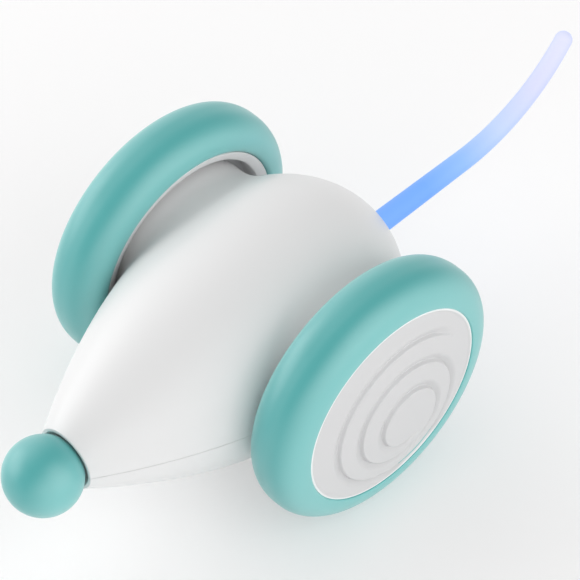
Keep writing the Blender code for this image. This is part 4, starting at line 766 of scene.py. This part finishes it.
def flank_column(line, edge, boss_radius, boss_end, fillet_steps, flank_steps):
    """Points from the end of the boss, over the fillet at its foot, to one point of the edge."""
    edge_run, edge_roll = edge
    run_at_axle = float(np.interp(0, line.y, line.run))
    bearing = math.atan2(BODY_RADIUS * edge_roll, edge_run - run_at_axle)
    foot = line.side_point(bearing, boss_radius)[0]
    low, high = 0, FILLET
    for _ in range(FILLET_ROUNDS):
        spread = (low + high) / 2
        start, start_run, start_roll = line.side_point(bearing, boss_radius + spread)
        low, high = (spread, high) if np.linalg.norm(start - foot) < FILLET else (low, spread)
    top = foot + np.array((min(FILLET, FILLET_END_SHARE * (boss_end - foot[0])), 0, 0))
    column = [np.array((boss_end, foot[1], foot[2]))]
    for share in np.linspace(0, 1, fillet_steps + 1):
        column.append(curve_point(top, foot, start, share))
    for share in np.linspace(0, 1, flank_steps + 1)[1:]:
        run = start_run + share * (edge_run - start_run)
        roll = start_roll + share * (edge_roll - start_roll)
        column.append(line.skin_point(run, roll))
    return column


def housing_skin(name, inset, front, rear, steps):
    """The drop with a boss on each flank as one closed mesh, round the middle of the axle."""
    line = Meridian(inset, front, rear)
    shape = (BOSS_RADIUS - inset, BOSS_END - inset, *steps[3:])
    columns = [flank_column(line, point, *shape) for point in flank_edge(line, *steps[:3])]
    rows = [np.array(row) for row in zip(*columns)]
    boss_middle = np.array([[rows[0][0][0], 0, 0]])
    bm = bmesh.new()
    for _, sign in SIDES:
        half = mesh_of_rings("half", [ring * (sign, 1, 1) for ring in [boss_middle, *rows]])
        bm.from_mesh(half)
        bpy.data.meshes.remove(half)
    bmesh.ops.remove_doubles(bm, verts=bm.verts, dist=WELD_DISTANCE)
    bmesh.ops.holes_fill(bm, edges=[e for e in bm.edges if e.is_boundary], sides=0)
    bmesh.ops.recalc_face_normals(bm, faces=bm.faces)
    mesh = bpy.data.meshes.new(name)
    bm.to_mesh(mesh)
    bm.free()
    return mesh


tail_rim_y = REAR_REACH * math.sqrt(1 - (TAIL_RIM_RADIUS / BODY_RADIUS) ** 2)
drop = housing_skin("drop", 0, NOSE_RIM_Y, tail_rim_y, DROP_STEPS)
print("housing skin:", len(drop.vertices), "points")

# %% [markdown]
# The cutting tools are the nose's socket, the tail's hole and what opens through the belly and the
# bosses. Each runs a little past the wall that it cuts.

# %% Housing openings
BALL_RADIUS = (ball_high.z - ball_low.z) / 2
BALL_Y = ball_low.y + BALL_RADIUS - AXLE.y
NOSE_TRAVEL = 0.8 * MM
STEM_RADIUS = 2.3 * MM
TAIL_BORE = 3.25 * MM
TAIL_HOLE = (30 * MM, 40 * MM)
BUTTON_RADIUS = 4.0 * MM
BUTTON_Y = (button_low.y + button_high.y) / 2 - AXLE.y
PORT_Y = (port_low.y + port_high.y) / 2 - AXLE.y
PORT_WIDTH, PORT_HEIGHT = port_high.x - port_low.x, port_high.y - port_low.y
PORT_HOLE_CORNER = 1.7 * MM
SCREW_SEAT_Z = -15.5 * MM
SCREW_HEAD_RADIUS = 2.1 * MM
BUSH_RADIUS = 3.2 * MM
SOCKET_GAP, STEM_GAP = 0.1 * MM, 0.4 * MM
BUTTON_GAP, PORT_GAP, SCREW_GAP = 0.3 * MM, 0.5 * MM, 0.3 * MM
OVERRUN = 2 * MM
SOCKET_STEPS, BUTTON_SIDES, BORE_SIDES, SCREW_SIDES = 24, 96, 64, 48

screw_spots = []
for index in range(1, 5):
    low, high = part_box(f"shell_screw_{index}")
    screw_spots.append(((low.x + high.x) / 2, (low.y + high.y) / 2 - AXLE.y))


def rounded_slot(width, height, corner, centre_y, steps=8):
    """An anticlockwise loop of (x, y) points: a rectangle with round corners."""
    points = []
    for quarter, (sx, sy) in enumerate(((1, 1), (-1, 1), (-1, -1), (1, -1))):
        for angle in np.linspace(0, QUARTER, steps) + quarter * QUARTER:
            x = sx * (width / 2 - corner) + corner * math.cos(angle)
            points.append((x, centre_y + sy * (height / 2 - corner) + corner * math.sin(angle)))
    return np.array(points)


def stacked(name, levels):
    """A solid of loops of (x, y) points at heights, from (height, loop) pairs."""
    rings = [np.column_stack([loop, np.full(len(loop), z)]) for z, loop in levels]
    bottom, top = rings[0].mean(0)[None], rings[-1].mean(0)[None]
    return face_outwards(mesh_of_rings(name, [bottom, *rings, top]))


def socket_tool():
    """The ball's sphere at the end of its travel, open to the front, with the stem's hole."""
    radius, middle = BALL_RADIUS + SOCKET_GAP, BALL_Y + NOSE_TRAVEL
    bore = STEM_RADIUS + STEM_GAP
    front, back = NOSE_RIM_Y - OVERRUN, BULKHEAD_Y + OVERRUN
    outline = [(front, 0)]
    arc = math.acos((front - middle) / radius), math.asin(bore / radius)
    for angle in np.linspace(*arc, SOCKET_STEPS):
        outline.append((middle + radius * math.cos(angle), radius * math.sin(angle)))
    return lathe("socket", [*outline, (back, bore), (back, 0)], BUTTON_SIDES, "Y")


belly = -BODY_RADIUS - OVERRUN, -BODY_RADIUS + WALL + OVERRUN
button_bore = BUTTON_RADIUS + BUTTON_GAP
port_size = PORT_WIDTH + PORT_GAP, PORT_HEIGHT + PORT_GAP
port_loop = rounded_slot(*port_size, PORT_HOLE_CORNER, PORT_Y)
openings = [
    socket_tool(),
    cylinder("tail_hole", *TAIL_HOLE, TAIL_BORE, BORE_SIDES, "Y"),
    cylinder("button_hole", *belly, button_bore, BUTTON_SIDES, "Z", (0, BUTTON_Y, 0)),
    stacked("port_hole", [(z, port_loop) for z in belly]),
]
well = belly[0], SCREW_SEAT_Z, SCREW_HEAD_RADIUS + SCREW_GAP
for x, y in screw_spots:
    openings.append(cylinder("screw_well", *well, SCREW_SIDES, "Z", (x, y, 0)))
for _, sign in SIDES:
    low, high = sorted((sign * (BOSS_END - WALL - OVERRUN), sign * (BOSS_END + OVERRUN)))
    openings.append(cylinder("bush_hole", low, high, BUSH_RADIUS, BORE_SIDES))
print("openings:", len(openings))

# %% [markdown]
# The screw wells run up into the housing through posts, so the posts stay in the cavity when it is
# cut. Each half is the drop inside a block on its side of the seam. The rims get a small round from
# the bevel of the shader, which costs no geometry.

# %% Housing shells
POST_RADIUS = 2.9 * MM
RIM_ROUND = 0.25 * MM
BLOCK = np.array((BOSS_END + OVERRUN, NOSE_REACH, BODY_RADIUS + OVERRUN))

cavity = housing_skin("cavity", WALL, BULKHEAD_Y, TAIL_WALL_Y, CAVITY_STEPS)
posts = [
    cylinder("post", -BLOCK[2], BLOCK[2], POST_RADIUS, SCREW_SIDES, "Z", (x, y, 0))
    for x, y in screw_spots
]
cavity = cut(cavity, *posts)


def add_shell(name, sign, node):
    """One half of the housing: the drop on one side of the seam, less the cavity and openings."""
    heights = sorted((sign * SEAM / 2, sign * BLOCK[2]))
    half = stacked("half", [(z, SQUARE * BLOCK[:2]) for z in heights])
    shell = cut(drop.copy(), half, operation="INTERSECT")
    shell = cut(shell, cavity.copy(), *[tool.copy() for tool in openings])
    shell.name = name
    shell.transform(Matrix.Translation(AXLE))
    return dress(name, shell, shell_white, "chassis", "white_shell", node, smooth_angle=35)


def soften_edges(material, radius):
    """Rounds the look of sharp edges: the bevel's turn of the normal is added to the grain's."""
    tree = material.node_tree
    vectors = {"kind": "ShaderNodeVectorMath"}
    bevel = add_node(tree, "ShaderNodeBevel", {"Radius": radius}, samples=6).outputs["Normal"]
    own = add_node(tree, "ShaderNodeNewGeometry").outputs["Normal"]
    grain = tree.nodes["grain"].outputs["Normal"]
    turn = calculate(tree, "SUBTRACT", bevel, own, **vectors)
    turned = calculate(tree, "ADD", turn, grain, **vectors)
    unit = calculate(tree, "NORMALIZE", turned, **vectors)
    tree.links.new(unit, tree.nodes["Principled BSDF"].inputs["Normal"])
    return material


shell_white = soften_edges(white.copy(), RIM_ROUND)
shell_white.name = "white_shell_moulding"
for name, sign, node in (("upper_skin", 1, "upper_shell"), ("lower_skin", -1, "lower_shell")):
    shell = add_shell(name, sign, node)
    print(name, len(shell.data.vertices), "points")

# %% [markdown]
# ## Nose
#
# The nose is a squashy silicone ball on a stem. It stands proud of its socket, so that a paw can
# push it in, and the shadow in the gap round it sets it off from the white.

# %% Nose
BALL_STEPS, BALL_SIDES = 64, 128

stem_end_y = ball_high.y - AXLE.y
neck = math.asin(STEM_RADIUS / BALL_RADIUS)
ball_outline = [(BALL_Y - BALL_RADIUS, 0)]
for angle in np.linspace(math.pi, neck, BALL_STEPS)[1:]:
    ball_outline.append((BALL_Y + BALL_RADIUS * math.cos(angle), BALL_RADIUS * math.sin(angle)))
ball_outline += [(stem_end_y, STEM_RADIUS), (stem_end_y, 0)]
ball = lathe("nose_skin", ball_outline, BALL_SIDES, "Y", AXLE)
# The ball wears the teal with its painted sheen, paler where it turns towards the axle.
dress("nose_skin", ball, teal, "nose", "teal_silicone", "nose_ball")
print("nose ball radius", round(BALL_RADIUS / MM, 2), "mm")

# %% [markdown]
# ## Tail
#
# The tail is a clear silicone light guide, lit at its root. Light leaks out along its length, so it
# glows strong blue where it leaves the housing and pales to lilac at the tip. How far along the
# tail a point lies is kept on the mesh and drives the colour of both the surface and the glow. Seen
# at a slant the silicone is thicker, so the tail's outline is a little deeper in tone.

# %% Tail
TAIL_ROOT_Y = tail_low.y - AXLE.y
TAIL_BASE_RADIUS = (tail_high.x - tail_low.x) / 2
TAIL_TIP_RADIUS = 2.3 * MM
TAIL_BEND_Y = 68.3 * MM
TAIL_BEND_RADIUS = 45 * MM
TAIL_BEND_ANGLE = math.radians(52)
TAIL_STEPS, TAIL_TIP_STEPS, TAIL_SIDES = 120, 14, 64
TAIL_COLOURS = [
    # (share of the length, colour)
    (0.12, (0.18, 0.38, 0.84)),
    (0.30, (0.18, 0.38, 0.83)),
    (0.46, (0.27, 0.46, 0.82)),
    (0.64, (0.48, 0.58, 0.82)),
    (0.82, (0.59, 0.61, 0.80)),
    (0.98, (0.64, 0.65, 0.80)),
]
TAIL_BODY, TAIL_GLOW = 0.28, 0.98
TAIL_RIM = (0.62, 0.72, 0.88)
TAIL_RIM_BLEND = 0.35

tail_angles = round_angles(TAIL_SIDES)
straight = TAIL_BEND_Y - TAIL_ROOT_Y
tail_length = straight + TAIL_BEND_RADIUS * TAIL_BEND_ANGLE


def tail_frame(run):
    """The point on the tail's middle line at a run from its root, and the way it climbs there."""
    angle = max(0, run - straight) / TAIL_BEND_RADIUS
    y = min(TAIL_ROOT_Y + run, TAIL_BEND_Y) + TAIL_BEND_RADIUS * math.sin(angle)
    return np.array(AXLE) + (0, y, TAIL_BEND_RADIUS * (1 - math.cos(angle))), angle


def tail_ring(centre, angle, radius):
    across, up = radius * np.cos(tail_angles), radius * np.sin(tail_angles)
    ring = [across, -up * math.sin(angle), up * math.cos(angle)]
    return np.stack(ring, 1) + centre


def tail_colour(tree):
    """The colour of the glow, deeper at the outline. A share of it is the body's colour."""
    along = add_node(tree, "ShaderNodeAttribute", attribute_name="along")
    ramp = add_node(tree, "ShaderNodeValToRGB", {"Fac": along.outputs["Fac"]})
    stops = ramp.color_ramp.elements
    for index, (position, colour) in enumerate(TAIL_COLOURS):
        stop = stops.new(position) if index else stops[0]
        stop.position, stop.color = position, (*colour, 1.0)
    stops.remove(stops[-1])
    slant = add_node(tree, "ShaderNodeLayerWeight", {"Blend": TAIL_RIM_BLEND}).outputs["Facing"]
    glow = mix_colours(tree, slant, ramp.outputs["Color"], TAIL_RIM, "MULTIPLY")
    tree.links.new(glow, tree.nodes["Principled BSDF"].inputs["Emission Color"])
    return mix_colours(tree, 1.0, glow, (TAIL_BODY,) * 3, "MULTIPLY")


lit = {"Specular_IOR_Level": 0.15, "Emission_Strength": TAIL_GLOW}
tail_glow = moulded("tail_silicone", tail_colour, 0.40, grain=0.05, spread=0.04, drift=0.0, **lit)
tail_end, end_angle = tail_frame(tail_length)
onward = np.array((0, math.cos(end_angle), math.sin(end_angle)))
tail_rings = [(0.0, tail_frame(0)[0][None])]  # (share of the length, points)
for run in np.linspace(0, tail_length, TAIL_STEPS):
    share = run / tail_length
    radius = TAIL_BASE_RADIUS + (TAIL_TIP_RADIUS - TAIL_BASE_RADIUS) * share
    tail_rings.append((share, tail_ring(*tail_frame(run), radius)))
for turn in np.linspace(0, QUARTER, TAIL_TIP_STEPS)[1:-1]:
    centre = tail_end + onward * TAIL_TIP_RADIUS * math.sin(turn)
    tail_rings.append((1.0, tail_ring(centre, end_angle, TAIL_TIP_RADIUS * math.cos(turn))))
tail_rings.append((1.0, (tail_end + onward * TAIL_TIP_RADIUS)[None]))
tail_mesh = mesh_of_rings("tail_skin", [ring for _, ring in tail_rings])
mark_points(tail_mesh, "along", [share for share, ring in tail_rings for _ in ring])
face_outwards(tail_mesh)
dress("tail_skin", tail_mesh, tail_glow, "chassis", "tail_silicone", "tail")
print("tail length from the socket", round(tail_length / MM, 1), "mm")

# %% [markdown]
# ## Belly
#
# Under the belly are the pieces that the owner uses: a dished push button, the charging socket with
# its tongue and contacts, and the heads of the four screws deep in their wells.

# %% Button
BUTTON_EDGE = 0.35 * MM
BUTTON_DISH = 0.25 * MM
BUTTON_BRIM = 0.2 * MM
BUTTON_SKIRT = 3 * MM
DISH_STEPS = 9

button_grey = moulded("grey_button", (0.45, 0.46, 0.47), 0.45, grain=0.14, drift=0.03)
button_face, button_top = button_low.z - AXLE.z, button_high.z - AXLE.z
brim_start = BUTTON_RADIUS - BUTTON_EDGE - BUTTON_BRIM
button_outline = []
for share in np.linspace(0, 1, DISH_STEPS + 1):
    height = button_face + BUTTON_DISH * (1 - share**2)
    button_outline.append((height, share * (brim_start - BUTTON_BRIM)))
button_sides = [
    (button_face, brim_start),
    (button_face, BUTTON_RADIUS),
    (button_face + BUTTON_SKIRT, BUTTON_RADIUS),
    (button_top, BUTTON_RADIUS / 2),
]
button_outline += [*rounded(button_sides, BUTTON_EDGE), (button_top, 0)]
button_centre = (0, AXLE.y + BUTTON_Y, AXLE.z)
button_mesh = lathe("button_skin", button_outline, BUTTON_SIDES, "Z", button_centre)
dress("button_skin", button_mesh, button_grey, "button", "grey_button", "power_button")
print("button radius", BUTTON_RADIUS / MM, "mm")

# %% [markdown]
# The charging socket is a drawn steel shell, rolled over at its lip, round a black tongue with gold
# contacts.

# %% Charging socket
PORT_WALL = 0.3 * MM
PORT_LIP = PORT_WALL / 2
PORT_DEPTH = 6.2 * MM
PORT_CORNER_SHARE = 0.95  # of half the socket's height
TONGUE = (6.6 * MM, 0.7 * MM, 0.15 * MM)  # width, height and corner
TONGUE_SETBACK = 0.6 * MM
TONGUE_OVERLAP = 0.1 * MM
CONTACTS, CONTACT_PITCH = 12, 0.5 * MM
CONTACT_SIZE = Vector((0.26, 0.06, 3.2)) * MM
CONTACT_ROW_Y = 0.36 * MM
CONTACT_SETBACK = 0.4 * MM

steel = moulded(
    "bright_steel", (0.62, 0.62, 0.63), 0.28, grain=0.08, spread=0.10, drift=0.04, Metallic=1.0
)
black = moulded("dark_plastic", (0.03, 0.03, 0.035), 0.50, grain=0.15, drift=0.10)
gold = moulded("gold_contact", (0.83, 0.60, 0.25), 0.25, grain=0.05, drift=0.05, Metallic=1.0)
port_mouth, port_back = port_low.z, port_high.z
port_floor = port_mouth + PORT_DEPTH
port_centre_y = AXLE.y + PORT_Y
port_levels = [
    # (height, how far the loop is drawn in)
    (port_back, 0),
    (port_mouth + PORT_LIP, 0),
    (port_mouth, PORT_LIP),
    (port_mouth + PORT_LIP, PORT_WALL),
    (port_floor, PORT_WALL),
]
port_loops = []
for z, inset in port_levels:
    corner = PORT_HEIGHT / 2 * PORT_CORNER_SHARE - inset
    size = PORT_WIDTH - 2 * inset, PORT_HEIGHT - 2 * inset
    port_loops.append((z, rounded_slot(*size, corner, port_centre_y)))
port_shell = stacked("port_skin", port_loops)
dress("port_skin", port_shell, steel, "chassis", "bright_steel", "charging_port")

tongue_tip = port_mouth + TONGUE_SETBACK
tongue_loop = rounded_slot(*TONGUE, port_centre_y)
tongue_levels = [(port_floor + TONGUE_OVERLAP, tongue_loop), (tongue_tip, tongue_loop)]
tongue_mesh = stacked("port_tongue", tongue_levels)
dress("port_tongue", tongue_mesh, black, "chassis", "dark_plastic")

bm = bmesh.new()
contact_z = tongue_tip + CONTACT_SETBACK + CONTACT_SIZE.z / 2
for row in (1, -1):
    for index in range(CONTACTS):
        x = (index - (CONTACTS - 1) / 2) * CONTACT_PITCH
        middle = Vector((x, port_centre_y + row * CONTACT_ROW_Y, contact_z))
        made = bmesh.ops.create_cube(bm, size=1)["verts"]
        bmesh.ops.scale(bm, vec=CONTACT_SIZE, verts=made)
        bmesh.ops.translate(bm, vec=middle, verts=made)
contact_mesh = bpy.data.meshes.new("port_contacts")
bm.to_mesh(contact_mesh)
bm.free()
dress("port_contacts", contact_mesh, gold, "chassis", "brass", smooth_angle=10)
print("charging socket:", 2 * CONTACTS, "contacts")

# %% [markdown]
# The screws are cross-headed: a domed head with a recess that narrows as it goes in.

# %% Screws
SCREW_SHANK_RADIUS = 1.0 * MM
SCREW_HEAD_HEIGHT = 1.6 * MM
SCREW_DOME = np.array([(0.25, 0), (0.2, 0.8), (0.05, 1.5), (0.3, 1.95)]) * MM  # (height, radius)
SCREW_DOME_EDGE = 0.7 * MM
RECESS_LEVELS = np.array([(-1.0, 1.5), (1.0, 0.6)]) * MM  # (height, half length)
RECESS_HALF_WIDTH = 0.28 * MM


def make_screw(length):
    outline = [*SCREW_DOME, (SCREW_DOME_EDGE, SCREW_HEAD_RADIUS)]
    outline += [(SCREW_HEAD_HEIGHT, SCREW_HEAD_RADIUS), (SCREW_HEAD_HEIGHT, SCREW_SHANK_RADIUS)]
    outline += [(length, SCREW_SHANK_RADIUS), (length, 0)]
    arms = []
    for turn in (0, QUARTER):
        spin = np.array(((math.cos(turn), -math.sin(turn)), (math.sin(turn), math.cos(turn))))
        levels = [(z, SQUARE * (half, RECESS_HALF_WIDTH) @ spin.T) for z, half in RECESS_LEVELS]
        arms.append(stacked("arm", levels))
    return cut(lathe("screw", outline, SCREW_SIDES, "Z"), *arms)


screw_low, screw_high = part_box("shell_screw_1")
screw_mesh = make_screw(screw_high.z - screw_low.z)
for index, (x, y) in enumerate(screw_spots, 1):
    mesh = screw_mesh.copy()
    mesh.transform(Matrix.Translation((x, y + AXLE.y, screw_low.z)))
    dress(f"screw_skin_{index}", mesh, steel, "chassis", "bright_steel", f"shell_screw_{index}")
print("screws:", len(screw_spots))

# %% [markdown]
# ## Nose spring
#
# A steel coil behind the nose pushes the ball out again: a wire swept along a helix, from the clip
# on the nose's stem to the fixed carrier. It flattens towards the carrier when the nose is pressed;
# the coil drawn here keeps the length of the CAD spring.

# %% Nose spring
COIL_RADIUS = 4.4 * MM
WIRE_RADIUS = 0.25 * MM
COIL_TURNS, COIL_STEPS, WIRE_SIDES = 4, 144, 12

spring_low, spring_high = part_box("nose_spring")
wire_angles = round_angles(WIRE_SIDES)
wire_radius = COIL_RADIUS + WIRE_RADIUS * np.cos(wire_angles)
first_y, last_y = spring_low.y + WIRE_RADIUS, spring_high.y - WIRE_RADIUS
coil_rings = []
for share in np.linspace(0, 1, COIL_STEPS + 1):
    angle = math.tau * COIL_TURNS * share
    y = first_y + (last_y - first_y) * share + WIRE_RADIUS * np.sin(wire_angles)
    x, z = wire_radius * math.cos(angle), AXLE.z + wire_radius * math.sin(angle)
    coil_rings.append(np.stack([x, y, z], 1))
wire_ends = [coil_rings[end].mean(0)[None] for end in (0, -1)]
coil_rings = [wire_ends[0], *coil_rings, wire_ends[1]]
coil_mesh = face_outwards(mesh_of_rings("nose_spring_skin", coil_rings))
coil = dress("nose_spring_skin", coil_mesh, steel, "chassis", "bright_steel", "nose_spring")
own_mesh(coil)

# %% [markdown]
# ## Inner pieces
#
# Motors, gears, board and battery keep their CAD shapes, since they only show when the housing is
# open. Each gets a better surface for its slot.

# %% Inner pieces
METAL = {"spread": 0.10, "Metallic": 1.0}
IRON = {"spread": 0.15, "Metallic": 1.0}
LENS = {"grain": 0.02, "Transmission_Weight": 0.8}
INNER = {
    "motor_steel": moulded("motor_steel", (0.50, 0.50, 0.51), 0.32, grain=0.10, **METAL),
    "gear_plastic": moulded("gear_plastic", (0.83, 0.81, 0.74), 0.45, Subsurface_Weight=0.1),
    "brass": moulded("turned_brass", (0.70, 0.48, 0.18), 0.30, grain=0.08, **METAL),
    "cast_iron": moulded("cast_iron", (0.10, 0.10, 0.11), 0.65, grain=0.60, **IRON),
    "cell_foil": moulded("cell_foil", (0.55, 0.57, 0.62), 0.35, grain=0.20, spread=0.15),
    "green_board": moulded("green_board", (0.02, 0.16, 0.06), 0.40, drift=0.15),
    "clear_lamp": moulded("clear_lamp", (0.85, 0.90, 1.0), 0.10, **LENS),
    "bright_steel": steel,
    "dark_plastic": black,
    "white_shell": white,
}
stays = [e for e in frame["record"]["subparts"] if not frame["nodes"][e["node"]].hide_render]
for entry in stays:
    materials = frame["nodes"][entry["node"]].data.materials
    materials.clear()
    materials.append(INNER[entry["material_slot"]])
print("CAD pieces that stay:", len(stays))
